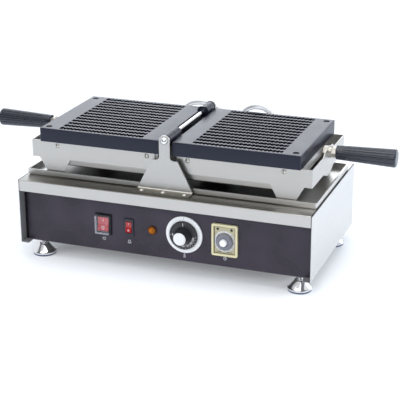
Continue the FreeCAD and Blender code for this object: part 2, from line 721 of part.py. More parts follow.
def plate_frame():
    """The right frame: front, end and rear wall, ledges for the plate and a tab on each long wall."""
    tab_z = TRAY_FLOOR + REST_GAP
    outline = [
        V(FRAME_INNER, 0, PLATE_BOTTOM),
        V(FRAME_INNER, 0, FRAME_BOTTOM),
        V(FRAME_OUTER - TAB_TOP[1], 0, FRAME_BOTTOM),
        V(FRAME_OUTER - TAB_FOOT[1], 0, tab_z),
        V(FRAME_OUTER - TAB_FOOT[0], 0, tab_z),
        V(FRAME_OUTER - TAB_TOP[0], 0, FRAME_BOTTOM),
        V(FRAME_OUTER, 0, FRAME_BOTTOM),
        V(FRAME_OUTER, 0, PLATE_BOTTOM),
    ]
    wall = prism(outline, V(0, FRAME_SHEET, 0))
    frame = wall.translated(V(0, -FRAME_Y, 0)).fuse(wall.translated(V(0, FRAME_Y - FRAME_SHEET, 0)))
    for sign in (-1, 1):
        reach = sorted((sign * FRAME_Y, sign * (FRAME_Y - LEDGE_WIDTH)))
        frame = frame.fuse(block((FRAME_INNER, PLATE_OUTER), reach, (LEDGE_UNDER, PLATE_BOTTOM)))
    end = [
        V(FRAME_OUTER - FRAME_SHEET, -FRAME_Y, PLATE_BOTTOM),
        V(FRAME_OUTER - FRAME_SHEET, -END_RISE_HALF[1], PLATE_BOTTOM),
        V(FRAME_OUTER - FRAME_SHEET, -END_RISE_HALF[0], PLATE_BOTTOM + END_RISE),
        V(FRAME_OUTER - FRAME_SHEET, END_RISE_HALF[0], PLATE_BOTTOM + END_RISE),
        V(FRAME_OUTER - FRAME_SHEET, END_RISE_HALF[1], PLATE_BOTTOM),
        V(FRAME_OUTER - FRAME_SHEET, FRAME_Y, PLATE_BOTTOM),
        V(FRAME_OUTER - FRAME_SHEET, FRAME_Y, FRAME_BOTTOM),
        V(FRAME_OUTER - FRAME_SHEET, END_DROP_HALF[1], FRAME_BOTTOM),
        V(FRAME_OUTER - FRAME_SHEET, END_DROP_HALF[0], FRAME_BOTTOM - END_DROP),
        V(FRAME_OUTER - FRAME_SHEET, -END_DROP_HALF[0], FRAME_BOTTOM - END_DROP),
        V(FRAME_OUTER - FRAME_SHEET, -END_DROP_HALF[1], FRAME_BOTTOM),
        V(FRAME_OUTER - FRAME_SHEET, -FRAME_Y, FRAME_BOTTOM),
    ]
    frame = frame.fuse(prism(end, V(FRAME_SHEET, 0, 0))).removeSplitter()
    frame = frame.cut(handle_bar(HANDLE_STUD_RADIUS + FIT, FRAME_OUTER - FRAME_SHEET, FRAME_OUTER))
    for seat, out in wall_screw_places():
        frame = frame.cut(rod(WALL_SCREW_RADIUS + FIT, seat - out * FRAME_SHEET, seat))
    for y in both_ways(PLATE_SCREW_Y):
        seat = V(PLATE_SCREW_X, y, PLATE_BOTTOM)
        frame = frame.cut(rod(PLATE_SCREW_RADIUS + FIT, seat - V(0, 0, FRAME_SHEET), seat))
    return frame.cut(gland_hole(FIT, FRAME_Y - FRAME_SHEET, FRAME_Y))


def frame_fasteners():
    """Two countersunk screws through the right plate, and four dome screws through the frame's long walls."""
    screws = []
    for y in both_ways(PLATE_SCREW_Y):
        top = V(PLATE_SCREW_X, y, PLATE_TOP - PLATE_SCREW_SINK)
        tail = V(PLATE_SCREW_X, y, LEDGE_UNDER - PLATE_SCREW_TAIL)
        nut_top = V(PLATE_SCREW_X, y, LEDGE_UNDER)
        screw = rod(PLATE_SCREW_RADIUS, tail, top)
        screw = screw.fuse(taper(PLATE_SCREW_HEAD, PLATE_SCREW_RADIUS, top, top - V(0, 0, PLATE_SCREW_CONE)))
        nut = rod(PLATE_SCREW_HEAD, nut_top - V(0, 0, PLATE_SCREW_TAIL / 2), nut_top)
        screws.append(screw.fuse(nut).removeSplitter())
    for seat, out in wall_screw_places():
        shank = rod(WALL_SCREW_RADIUS, seat - out * (FRAME_SHEET + TUB_FRAME_GAP + TUB_SHEET), seat)
        screws.append(shank.fuse(dome(WALL_SCREW_HEAD, WALL_SCREW_HEAD_HEIGHT, seat, out)).removeSplitter())
    return Part.makeCompound(screws)


def tub_shape(inset):
    """The outer shape of the right heater cover, made smaller by an inset on every side but the top."""
    x = (TUB_INNER + inset, TUB_OUTER - inset)
    y = TUB_Y - inset
    rim = block(x, both_ways(y), (FRAME_BOTTOM, LEDGE_UNDER))

    def ring(shrink, z):
        corners = [V(x[0] + shrink, -y + shrink, z), V(x[1] - shrink, -y + shrink, z),
                   V(x[1] - shrink, y - shrink, z), V(x[0] + shrink, y - shrink, z)]
        return Part.makePolygon(corners + corners[:1])

    bowl = Part.makeLoft([ring(TUB_TAPER, TUB_FLOOR + inset), ring(0, FRAME_BOTTOM)], True, True)
    return rim.fuse(bowl).removeSplitter()


def heater_cover():
    """The right heater cover: a thin tub with a tapered floor, open under the plate."""
    tub = tub_shape(0).cut(tub_shape(TUB_SHEET))
    for seat, out in wall_screw_places():
        tub = tub.cut(rod(WALL_SCREW_RADIUS + FIT, seat - out * (FRAME_Y - TUB_Y + TUB_SHEET), seat))
    return tub.cut(gland_hole(FIT, TUB_Y - TUB_SHEET, TUB_Y))


def heating_element():
    """The right tubular heater: four runs under the plate, joined by half turns."""
    spread = TUB_Y - HEATER_FROM_TUB
    row = spread / 3
    near_end = TUB_INNER + HEATER_END_MARGIN
    far_end = TUB_OUTER - HEATER_END_MARGIN
    tail = near_end - HEATER_TAIL
    turn_end = near_end + HEATER_TAIL
    flat = [(tail, -spread), (far_end, -spread), (far_end, -row), (turn_end, -row),
            (turn_end, row), (far_end, row), (far_end, spread), (tail, spread)]
    points = [V(x, y, HEATER_Z) for x, y in flat]
    return tube(points, [row * (1 - FIT)] * (len(points) - 2), HEATER_RADIUS)


def insulation():
    """The right heater's insulating block, from the tub's floor up to the heater."""
    inset = TUB_SHEET + TUB_TAPER + INSULATION_MARGIN
    return block((TUB_INNER + inset, TUB_OUTER - inset), both_ways(TUB_Y - inset),
                 (TUB_FLOOR + TUB_SHEET, HEATER_Z - HEATER_RADIUS - HEATER_GAP))


def handle_bar(radius, low_x, high_x):
    """A round bar on the right handle's axis."""
    return rod(radius, V(low_x, 0, HANDLE_Z), V(high_x, 0, HANDLE_Z))


def handle_stud():
    """The right handle's stud with a nut inside the end wall, and a washer and a nut outside."""
    inside = FRAME_OUTER - FRAME_SHEET
    nut_start = FRAME_OUTER + HANDLE_WASHER_THICK
    stud = handle_bar(HANDLE_STUD_RADIUS, inside - HANDLE_NUT_HEIGHT, HANDLE_ROOT + HANDLE_STUD_INSIDE)
    bore = handle_bar(HANDLE_STUD_RADIUS + RUN, inside - HANDLE_NUT_HEIGHT, HANDLE_ROOT)
    rings = [
        hexagon(HANDLE_NUT_RADIUS, V(inside - HANDLE_NUT_HEIGHT, 0, HANDLE_Z), V(inside, 0, HANDLE_Z)),
        handle_bar(HANDLE_WASHER_RADIUS, FRAME_OUTER, nut_start),
        hexagon(HANDLE_NUT_RADIUS, V(nut_start, 0, HANDLE_Z), V(HANDLE_ROOT, 0, HANDLE_Z)),
    ]
    return Part.makeCompound([stud] + [ring.cut(bore) for ring in rings])


def handle_grip():
    """The right grip: a swelling handle with flutes along it and a rounded end."""
    root = V(HANDLE_ROOT, 0, HANDLE_Z)
    end = root + V(HANDLE_LENGTH, 0, 0)
    grip = taper(HANDLE_ROOT_RADIUS, HANDLE_END_RADIUS, root, end)
    grip = rounded(grip, HANDLE_END_ROUND, lambda edge: near(edge, x=end.x))
    flutes = []
    for turn in range(FLUTE_COUNT):
        angle = math.radians(360.0 * turn / FLUTE_COUNT)
        out = V(0, math.cos(angle), math.sin(angle))
        stand = FLUTE_RADIUS - FLUTE_DEPTH
        start = root + V(FLUTE_ROOT_MARGIN, 0, 0)
        swell = (HANDLE_END_RADIUS - HANDLE_ROOT_RADIUS) * FLUTE_ROOT_MARGIN / HANDLE_LENGTH
        flutes.append(rod(FLUTE_RADIUS, start + out * (HANDLE_ROOT_RADIUS + swell + stand),
                          end + out * (HANDLE_END_RADIUS + stand)))
    grip = grip.cut(Part.makeCompound(flutes))
    return grip.cut(handle_bar(HANDLE_STUD_RADIUS + RUN, HANDLE_ROOT, HANDLE_ROOT + HANDLE_STUD_INSIDE))


def lead_gland():
    """The right elbow gland: a nut on the frame's rear wall, a short arm back and a mouth that points up."""
    corner = V(GLAND_X, GLAND_Y, GLAND_Z)
    wall = V(GLAND_X, FRAME_Y, GLAND_Z)
    gland = hexagon(GLAND_NUT_RADIUS, wall, wall + V(0, GLAND_NUT_THICK, 0))
    gland = gland.fuse(rod(GLAND_RADIUS, wall, corner)).fuse(Part.makeSphere(GLAND_RADIUS, corner))
    gland = gland.fuse(rod(GLAND_RADIUS, corner, corner + V(0, 0, GLAND_RISE)))
    return gland.fuse(gland_hole(0, TUB_Y, FRAME_Y)).removeSplitter()


def lead_bushes():
    """The two bushes in the cover that the heater leads come out of."""
    bushes = []
    for seat in lead_ends():
        bush = taper(BUSH_RADIUS, BUSH_NECK, seat, seat + V(0, 0, BUSH_HEIGHT))
        bushes.append(bush.fuse(rod(BUSH_NECK, seat - V(0, 0, SHEET + BUSH_TAIL), seat)).removeSplitter())
    return Part.makeCompound(bushes)


def lead(name, route):
    """A heater lead along its route, with its radii and its volume against section times length printed."""
    points = [V(*place) for place in route]
    radii = bend_radii(points)
    solid = tube(points, radii, LEAD_RADIUS)
    length = rounded_wire(points, radii).Length
    share = solid.Volume / (math.pi * LEAD_RADIUS ** 2 * length)
    listed = [round(radius, 1) for radius in radii]
    print(name, "length", round(length, 1), "radii", listed, "volume", round(share, 4))
    return solid


def switch_housing(x, bezel, body, rocker):
    """A snap-in switch housing with a pocket for its rocker and holes for the rocker's pins."""
    front = PANEL_FRONT - BEZEL_THICK
    housing = centred(bezel, x, (front, PANEL_FRONT), CONTROL_Z)
    housing = rounded(housing, BEZEL_ROUND, lambda edge: near(edge, y=front))
    housing = housing.fuse(centred(body, x, (PANEL_FRONT, PANEL_FRONT + SWITCH_DEPTH), CONTROL_Z))
    pocket = (rocker[0] + 2 * ROCKER_GAP, rocker[1] + 2 * ROCKER_GAP)
    housing = housing.cut(centred(pocket, x, (front, PANEL_FRONT + POCKET_DEPTH), CONTROL_Z))
    reach = rocker[0] / 2 + ROCKER_PIN_LENGTH + ROCKER_GAP
    pivot = V(x, PANEL_FRONT + ROCKER_PIVOT_DEPTH, CONTROL_Z)
    pin_hole = rod(ROCKER_PIN_RADIUS + RUN, pivot - V(reach, 0, 0), pivot + V(reach, 0, 0))
    return housing.cut(pin_hole).removeSplitter()


def switch_rocker(x, size):
    """A rocker with a dished front, round about its pivot, tilted to its off side."""
    wide, high = size
    pivot = V(x, PANEL_FRONT + ROCKER_PIVOT_DEPTH, CONTROL_Z)
    ends = V(wide / 2, 0, 0)
    half = high / 2
    outline = [V(0, -ROCKER_RISE, half), V(0, -ROCKER_RISE + ROCKER_DISH, 0), V(0, -ROCKER_RISE, -half),
               V(0, ROCKER_BACK, -half), V(0, ROCKER_BACK, half)]
    rocker = prism([pivot - ends + point for point in outline], ends * 2)
    rocker = rocker.common(rod(half, pivot - ends, pivot + ends))
    pin = ends + V(ROCKER_PIN_LENGTH, 0, 0)
    rocker = rocker.fuse(rod(ROCKER_PIN_RADIUS, pivot - pin, pivot + pin)).removeSplitter()
    rocker.rotate(pivot, V(1, 0, 0), -ROCKER_TILT)
    return rocker


def power_switch_cover():
    """The clear splash cover over the power rocker."""
    rim = PANEL_FRONT - BEZEL_THICK
    cover = centred(SPLASH_SIZE, POWER_X, (rim - SPLASH_RISE, rim), CONTROL_Z)
    cover = rounded(cover, SPLASH_ROUND, lambda edge: not near(edge, y=rim))
    inner = (SPLASH_SIZE[0] - 2 * SPLASH_WALL, SPLASH_SIZE[1] - 2 * SPLASH_WALL)
    room = centred(inner, POWER_X, (rim - SPLASH_RISE + SPLASH_WALL, rim), CONTROL_Z)
    return cover.cut(rounded(room, SPLASH_ROUND - SPLASH_WALL, lambda edge: not near(edge, y=rim)))


def control_axis(x, y):
    """A point on the axis of a round control."""
    return V(x, y, CONTROL_Z)


def pilot_lamp_lens():
    """The amber lens: a brim on the panel and a dome in front."""
    brim = PANEL_FRONT - LAMP_BRIM
    lens = rod(LAMP_RADIUS, control_axis(LAMP_X, brim), control_axis(LAMP_X, PANEL_FRONT))
    front = dome(LAMP_DOME_RADIUS, LAMP_DOME, control_axis(LAMP_X, brim), V(0, -1, 0))
    return lens.fuse(front).removeSplitter()


def pilot_lamp_body():
    """The lamp holder behind the lens."""
    back = PANEL_FRONT + LAMP_DEPTH
    return rod(LAMP_BODY_RADIUS, control_axis(LAMP_X, PANEL_FRONT), control_axis(LAMP_X, back))


def thermostat_bezel():
    """The pale disc behind the thermostat knob."""
    front = control_axis(DIAL_X, PANEL_FRONT - DIAL_BEZEL_THICK)
    back = control_axis(DIAL_X, PANEL_FRONT)
    disc = rounded(rod(DIAL_BEZEL_RADIUS, front, back), BEZEL_ROUND, lambda edge: near(edge, y=front.y))
    return disc.cut(rod(SPINDLE_RADIUS + FIT, front, back))


def thermostat_body():
    """The thermostat behind the panel, with the bore for the knob's spindle."""
    wide, deep, high = THERMOSTAT_SIZE
    body = centred((wide, high), DIAL_X, (PANEL_BACK, PANEL_BACK + deep), CONTROL_Z)
    return body.cut(rod(SPINDLE_RADIUS + RUN, control_axis(DIAL_X, PANEL_BACK),
                        control_axis(DIAL_X, PANEL_BACK + SPINDLE_DEPTH + FIT)))


def thermostat_knob():
    """The thermostat knob: a broad skirt, a tapered hub, a round cap and the spindle."""
    back = PANEL_FRONT - DIAL_BEZEL_THICK - TURN_GAP
    skirt = back - DIAL_SKIRT_THICK
    top = PANEL_FRONT - DIAL_BEZEL_THICK - DIAL_HEIGHT
    knob = rod(DIAL_SKIRT_RADIUS, control_axis(DIAL_X, back), control_axis(DIAL_X, skirt))
    knob = rounded(knob, DIAL_SKIRT_ROUND, lambda edge: near(edge, y=skirt))
    knob = knob.fuse(taper(*DIAL_HUB_RADII, control_axis(DIAL_X, skirt), control_axis(DIAL_X, top)))
    cap = rod(DIAL_CAP_RADIUS, control_axis(DIAL_X, top), control_axis(DIAL_X, top - DIAL_CAP_THICK))
    spindle_end = control_axis(DIAL_X, PANEL_BACK + SPINDLE_DEPTH)
    spindle = rod(SPINDLE_RADIUS, control_axis(DIAL_X, back), spindle_end)
    return knob.fuse(cap).fuse(spindle).removeSplitter()


def timer_frame():
    """The cream frame round the timer's face."""
    span = (PANEL_FRONT - TIMER_FRAME_THICK, PANEL_FRONT)
    frame = centred(TIMER_FRAME, TIMER_X, span, CONTROL_Z)
    frame = rounded(frame, TIMER_FRAME_CORNER, lambda edge: runs_along(edge, V(0, 1, 0)))
    frame = rounded(frame, BEZEL_ROUND, lambda edge: near(edge, y=span[0]))
    window = (TIMER_BODY[0] + 2 * FIT, TIMER_BODY[1] + 2 * FIT)
    return frame.cut(centred(window, TIMER_X, span, CONTROL_Z))


def timer_axis(y):
    """A point on the axis of the timer's dial."""
    return V(TIMER_X, y, CONTROL_Z - TIMER_DIAL_DROP)


def timer_body():
    """The timer: its face shows in the frame, and its works stand behind the panel."""
    face = PANEL_FRONT - TIMER_FACE_RISE
    body = centred(TIMER_BODY, TIMER_X, (face, PANEL_FRONT + TIMER_DEPTH), CONTROL_Z)
    return body.cut(rod(SPINDLE_RADIUS + RUN, timer_axis(face), timer_axis(face + SPINDLE_DEPTH + FIT)))


def timer_knob():
    """The timer's turning ring with its raised cap and spindle."""
    face = PANEL_FRONT - TIMER_FACE_RISE
    back = face - TURN_GAP
    front = back - TIMER_RING_THICK
    ring = rod(TIMER_RING_RADIUS, timer_axis(back), timer_axis(front))
    ring = rounded(ring, BEZEL_ROUND, lambda edge: near(edge, y=front))
    cap = rod(TIMER_CAP_RADIUS, timer_axis(front), timer_axis(front - TIMER_CAP_RISE))
    cap = rounded(cap, TIMER_CAP_ROUND, lambda edge: near(edge, y=front - TIMER_CAP_RISE))
    spindle = rod(SPINDLE_RADIUS, timer_axis(back), timer_axis(face + SPINDLE_DEPTH))
    return ring.fuse(cap).fuse(spindle).removeSplitter()


def buzzer():
    """The timer's buzzer, on the bottom plate."""
    seat = V(*BUZZER_PLACE, FLOOR_TOP)
    return rod(BUZZER_RADIUS, seat, seat + V(0, 0, BUZZER_HEIGHT))


def terminal_block():
    """The terminal block, on the bottom plate."""
    x, y = BLOCK_PLACE
    wide, deep, high = BLOCK_SIZE
    return block((x - wide / 2, x + wide / 2), (y - deep / 2, y + deep / 2), (FLOOR_TOP, FLOOR_TOP + high))


def cord_gland():
    """The mains inlet: a nut and a short mouth outside the rear panel, and a nut inside."""
    inside = cord_gland_axis(REAR_IN - CORD_GLAND_NUT)
    outside = cord_gland_axis(REAR_OUT + CORD_GLAND_NUT)
    mouth = outside + V(0, CORD_GLAND_REACH, 0)
    gland = rod(CORD_GLAND_RADIUS, inside, mouth)
    gland = gland.fuse(hexagon(CORD_GLAND_NUT_RADIUS, cord_gland_axis(REAR_OUT), outside))
    gland = gland.fuse(hexagon(CORD_GLAND_NUT_RADIUS, inside, cord_gland_axis(REAR_IN)))
    return gland.cut(rod(CORD_BORE, inside, mouth)).removeSplitter()


def base_nodes():
    """Everything that stays with the base."""
    side = side_panel()
    return {
        "top_cover": top_cover(),
        "side_panel_left": to_left(side),
        "side_panel_right": side,
        "front_panel": front_panel(),
        "rear_panel": rear_panel(),
        "bottom_plate": bottom_plate(),
        "base_screws": base_screws(),
        "drip_tray": drip_tray(),
        "hinge_bracket_front": hinge_bracket(-1),
        "hinge_bracket_rear": hinge_bracket(1),
        "bracket_rivets": bracket_rivets(),
        "hinge_shaft": hinge_shaft(),
        "shaft_end_bolts": shaft_end_bolts(),
        "lead_bushes": lead_bushes(),
        "left_lead": lead("left lead", LEFT_LEAD),
        "right_lead": lead("right lead", RIGHT_LEAD),
        "cord_gland": cord_gland(),
        "buzzer": buzzer(),
        "terminal_block": terminal_block(),
    }


def control_nodes():
    """The controls on the front panel."""
    return {
        "power_switch_housing": switch_housing(POWER_X, POWER_BEZEL, POWER_BODY, POWER_ROCKER),
        "power_rocker": switch_rocker(POWER_X, POWER_ROCKER),
        "power_switch_cover": power_switch_cover(),
        "alarm_switch_housing": switch_housing(ALARM_X, ALARM_BEZEL, ALARM_BODY, ALARM_ROCKER),
        "alarm_rocker": switch_rocker(ALARM_X, ALARM_ROCKER),
        "pilot_lamp_lens": pilot_lamp_lens(),
        "pilot_lamp_body": pilot_lamp_body(),
        "thermostat_bezel": thermostat_bezel(),
        "thermostat_body": thermostat_body(),
        "thermostat_knob": thermostat_knob(),
        "timer_frame": timer_frame(),
        "timer_body": timer_body(),
        "timer_knob": timer_knob(),
    }


def plate_nodes():
    """Both plate assemblies: the right one as built, the left one as its mirror image."""
    outer_front, inner_front, inner_rear, outer_rear = lug_ranges()
    nodes = {
        "right_hinge_lugs": hinge_lugs([inner_front, outer_rear]),
        "left_hinge_lugs": to_left(hinge_lugs([outer_front, inner_rear])),
    }
    pieces = {
        "baking_plate": baking_plate(),
        "plate_frame": plate_frame(),
        "frame_fasteners": frame_fasteners(),
        "heater_cover": heater_cover(),
        "heating_element": heating_element(),
        "insulation": insulation(),
        "handle_stud": handle_stud(),
        "handle_grip": handle_grip(),
        "lead_gland": lead_gland(),
    }
    for name, piece in pieces.items():
        nodes[f"right_{name}"] = piece
        nodes[f"left_{name}"] = to_left(piece)
    return nodes


def foot_nodes():
    """The four levelling feet."""
    nodes = {}
    for name, corner in four_feet().items():
        nodes[f"foot_cup_{name}"] = foot_cup(*corner)
        nodes[f"foot_pad_{name}"] = foot_pad(*corner)
    return nodes


os.makedirs("parts", exist_ok=True)
for node, shape in {**base_nodes(), **control_nodes(), **plate_nodes(), **foot_nodes()}.items():
    shape.exportStep(f"parts/{node}.step")
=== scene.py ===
"""Looks of a double waffle cone maker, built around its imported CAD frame.

Lengths are in metres, with X to the right, Y to the back and Z up.
The origin lies on the table under the base's middle.
"""

from __future__ import annotations

import logging
import math
from dataclasses import dataclass
from enum import Enum
from typing import Any, Protocol

import bmesh
import bpy
import numpy as np
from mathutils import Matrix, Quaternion, Vector

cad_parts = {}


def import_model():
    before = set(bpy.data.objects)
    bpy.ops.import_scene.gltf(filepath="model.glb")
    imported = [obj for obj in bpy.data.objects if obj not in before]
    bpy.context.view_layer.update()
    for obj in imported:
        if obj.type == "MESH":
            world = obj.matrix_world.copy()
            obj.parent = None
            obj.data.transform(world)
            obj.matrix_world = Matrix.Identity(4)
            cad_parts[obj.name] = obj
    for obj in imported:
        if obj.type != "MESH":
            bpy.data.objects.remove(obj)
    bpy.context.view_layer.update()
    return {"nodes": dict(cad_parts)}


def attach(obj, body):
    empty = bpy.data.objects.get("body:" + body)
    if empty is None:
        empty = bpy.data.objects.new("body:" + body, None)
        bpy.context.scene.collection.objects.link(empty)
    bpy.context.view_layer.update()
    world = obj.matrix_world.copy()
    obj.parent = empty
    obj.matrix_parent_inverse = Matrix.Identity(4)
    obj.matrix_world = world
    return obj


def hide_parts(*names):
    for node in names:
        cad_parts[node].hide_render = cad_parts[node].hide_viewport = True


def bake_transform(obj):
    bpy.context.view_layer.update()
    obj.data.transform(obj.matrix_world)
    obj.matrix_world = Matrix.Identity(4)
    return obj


LOG = logging.getLogger("waffle_cone_maker")
MERGE_DISTANCE = 1e-6
SAME_DIGITS = 7
FULL_TURN = 2 * math.pi
MILLIMETRE = 0.001
BOTH_SIGNS = np.array([-1.0, 1.0])
INK_LIFT = 0.00005
INK_THICKNESS = 0.00004
FIGURE_WEIGHT = 0.018
TICK_POINTS = 4
BAR_POINTS = 6
STROKE_WIDTH = 0.0007
CONTROL_X = {"power": -0.1050, "alarm": -0.0600, "dial": 0.0358, "timer": 0.1046}
CONTROL_Z = 0.0735
PILOT_X = -0.0193
PILOT_RADIUS = 0.0073
SPLASH_COVER_HALF = (0.0125, 0.0158)
DIAL_CAP_Y = -0.1379
PLATE_SCREW = (0.2103, 0.0894)
FOOT_CORNERS = {
    "front_left": (-0.224, -0.101),
    "front_right": (0.224, -0.101),
    "rear_left": (-0.224, 0.101),
    "rear_right": (0.224, 0.101),
}
WARM_LIGHT = (1.0, 0.98, 0.95)
COOL_LIGHT = (0.9, 0.95, 1.0)
Array = np.ndarray
Pair = tuple[float, float]
Point = tuple[float, float, float]
Colour = tuple[float, float, float]
Object = bpy.types.Object
Material = bpy.types.Material
Finishes = dict[str, Material]


class Side(Enum):
    """Which plate a piece belongs to, with the sign of its X."""

    LEFT = -1
    RIGHT = 1

    @property
    def word(self) -> str:
        """The side's name as the frame writes it."""
        return self.name.lower()

    @property
    def body(self) -> str:
        """The body that this side's pieces ride on."""
        return f"{self.word}_plate"


class Grain(Enum):
    """The way brush lines run, as pattern scales: few lines per metre along them, thousands across."""

    ALONG_X = (12.0, 2600.0, 2600.0)
    ALONG_Y = (2600.0, 12.0, 2600.0)


class Axis(Enum):
    """Where a turned piece points, as the images of its own X, Y and Z."""

    UP = ((1, 0, 0), (0, 1, 0), (0, 0, 1))
    FRONT = ((1, 0, 0), (0, 0, 1), (0, -1, 0))
    RIGHT = ((0, 1, 0), (0, 0, 1), (1, 0, 0))
    LEFT = ((0, -1, 0), (0, 0, 1), (-1, 0, 0))

    @property
    def matrix(self) -> Array:
        """The axis as a matrix that a row of local coordinates is multiplied by."""
        return np.array(self.value, float)


class Wire:
    """A value in a node tree that can be written into sums."""

    def __init__(self, tree: Tree, socket: bpy.types.NodeSocket) -> None:
        """Keeps the tree and the socket that gives the value."""
        self.tree = tree
        self.socket = socket

    def __add__(self, other: Wire | float) -> Wire:
        """The sum of two values."""
        return self.tree.sum("ADD", self, other)

    def __radd__(self, other: float) -> Wire:
        """The sum of a number and a value."""
        return self.tree.sum("ADD", other, self)

    def __sub__(self, other: Wire | float) -> Wire:
        """The difference of two values."""
        return self.tree.sum("SUBTRACT", self, other)

    def __rsub__(self, other: float) -> Wire:
        """A number less a value."""
        return self.tree.sum("SUBTRACT", other, self)

    def __mul__(self, other: Wire | float) -> Wire:
        """The product of two values."""
        return self.tree.sum("MULTIPLY", self, other)

    def __rmul__(self, other: float) -> Wire:
        """The product of a number and a value."""
        return self.tree.sum("MULTIPLY", other, self)

    def above(self, edge: float) -> Wire:
        """One where the value is over an edge, and zero elsewhere."""
        return self.tree.sum("GREATER_THAN", self, edge)

    def sine(self) -> Wire:
        """The sine of the value."""
        return self.tree.sum("SINE", self)

    def size(self) -> Wire:
        """The value without its sign."""
        return self.tree.sum("ABSOLUTE", self)


class Tree:
    """The node tree of one material or of the world."""

    def __init__(self, owner: Material | bpy.types.World) -> None:
        """Empties the owner's node tree."""
        owner.use_nodes = True
        self.owner = owner
        self.nodes = owner.node_tree.nodes
        self.links = owner.node_tree.links
        self.nodes.clear()

    @classmethod
    def named(cls, name: str) -> Tree:
        """The empty tree of a new material."""
        return cls(bpy.data.materials.new(name))

    @staticmethod
    def find(sockets: Any, name: str) -> bpy.types.NodeSocket:
        """The socket with that identifier or, failing that, that name."""
        by_identifier = [socket for socket in sockets if socket.identifier == name]
        return by_identifier[0] if by_identifier else sockets[name]

    def add(self, kind: str, settings: dict[str, Any], sockets: dict[str, Any]) -> bpy.types.Node:
        """Adds a node.

        Args:
            kind: The node's type.
            settings: Its settings, set first.
            sockets: The numbers, colours or wires of its inputs.

        Returns:
            The new node.
        """
        node = self.nodes.new(kind)
        for key, value in settings.items():
            setattr(node, key, value)
        for key, value in sockets.items():
            socket = self.find(node.inputs, key)
            if isinstance(value, Wire):
                self.links.new(value.socket, socket)
            elif isinstance(value, tuple) and socket.type == "RGBA":
                socket.default_value = (*value, 1.0)
            else:
                socket.default_value = value
        return node

    def wire(self, node: bpy.types.Node, output: str) -> Wire:
        """A node's output as a wire."""
        return Wire(self, self.find(node.outputs, output))

    def read(self, kind: str, output: str, settings: dict[str, Any], sockets: dict[str, Any]) -> Wire:
        """Adds a node and gives one of its outputs."""
        return self.wire(self.add(kind, settings, sockets), output)

    def sum(self, operation: str, *values: Wire | float) -> Wire:
        """A Math node on one or two values."""
        sockets = dict(zip(("Value", "Value_001"), values))
        return self.read("ShaderNodeMath", "Value", {"operation": operation}, sockets)

    def coordinates(self, kind: str) -> Wire:
        """Texture coordinates of a kind."""
        return self.read("ShaderNodeTexCoord", kind, {}, {})

    def place(self, scale: Point = (1.0, 1.0, 1.0), centre: Point = (0.0, 0.0, 0.0)) -> Wire:
        """Object coordinates about a centre, multiplied by a scale."""
        back = tuple(-middle * factor for middle, factor in zip(centre, scale))
        sockets = {"Vector": self.coordinates("Object"), "Location": back, "Scale": scale}
        return self.read("ShaderNodeMapping", "Vector", {}, sockets)

    def part(self, vector: Wire, axis: str) -> Wire:
        """One coordinate of a vector."""
        return self.read("ShaderNodeSeparateXYZ", axis, {}, {"Vector": vector})

    def reach(self, vector: Wire) -> Wire:
        """The length of a vector."""
        return self.read("ShaderNodeVectorMath", "Value", {"operation": "LENGTH"}, {"Vector": vector})

    def noise(self, scale: float, detail: float = 2.0, vector: Wire | None = None) -> Wire:
        """Smooth noise from zero to one, on Object coordinates unless a vector is given."""
        sockets = {"Vector": vector or self.place(), "Scale": scale, "Detail": detail}
        return self.read("ShaderNodeTexNoise", "Fac", {}, sockets)

    def cells(self, scale: float) -> Wire:
        """The distance to the nearest of many scattered points."""
        return self.read("ShaderNodeTexVoronoi", "Distance", {}, {"Vector": self.place(), "Scale": scale})

    def mix(self, factor: Wire | float, first: Wire | Colour, second: Wire | Colour) -> Wire:
        """A colour between two colours."""
        sockets = {"Factor_Float": factor, "A_Color": first, "B_Color": second}
        return self.read("ShaderNodeMix", "Result_Color", {"data_type": "RGBA"}, sockets)

    def spread(self, factor: Wire, tone: Colour, contrast: Pair) -> Wire:
        """A tone that goes from one multiple of itself to another, never over white."""
        low, high = (tuple(min(1.0, part * change) for part in tone) for change in contrast)
        return self.mix(factor, low, high)

    def ramp(self, value: Wire, low: float, high: float) -> Wire:
        """Zero at low and one at high, held there beyond them."""
        sockets = {"Value": value, "From Min": low, "From Max": high}
        return self.read("ShaderNodeMapRange", "Result", {"clamp": True}, sockets)

    def bump(self, height: Wire, strength: float, distance: float) -> Wire:
        """A normal bent by a height."""
        sockets = {"Height": height, "Strength": strength, "Distance": distance}
        return self.read("ShaderNodeBump", "Normal", {}, sockets)

    def finish(self, colour: Wire, rough: Wire, others: dict[str, Any]) -> Material:
        """Closes the tree with a principled surface.

        Args:
            colour: The base colour.
            rough: The roughness.
            others: The numbers, colours or wires of other inputs.

        Returns:
            The finished material.
        """
        sockets = {"Base Color": colour, "Roughness": rough, **others}
        surface = self.read("ShaderNodeBsdfPrincipled", "BSDF", {}, sockets)
        self.add("ShaderNodeOutputMaterial", {}, {"Surface": surface})
        return self.owner


@dataclass(frozen=True)
class Zone:
    """A part of a surface, beyond a plane, in another tone that fades towards the surface's ends."""

    axis: str
    edge: float
    beyond: bool
    tone: Colour
    share: float = 1.0
    fade: Pair = (1.0, 2.0)
    metal: float | None = None
    rough: float = 0.0

    def mask(self, tree: Tree) -> Wire:
        """The zone's share where a coordinate's size is beyond the edge, or short of it, less at the ends.

        Args:
            tree: The tree of the material that has the zone.

        Returns:
            The share at each place.
        """
        place = tree.place()
        past = tree.part(place, self.axis).size().above(self.edge)
        inward = 1.0 - tree.ramp(tree.part(place, "X").size(), *self.fade)
        return self.share * (past if self.beyond else 1.0 - past) * inward


@dataclass(frozen=True)
class Rim:
    """The outer part of a round lens, in another tone; on the amber lens a darker one, painted shade
    towards the rim.
    """

    centre: Point
    radius: float
    tone: Colour
    start: float = 0.5
    metal: float | None = None
    rough: float = 0.0

    def mask(self, tree: Tree) -> Wire:
        """Nought up to a share of the radius, and one from the radius on."""
        from_middle = tree.reach(tree.place((1.0, 0.0, 1.0), self.centre))
        return tree.ramp(from_middle, self.start * self.radius, self.radius)


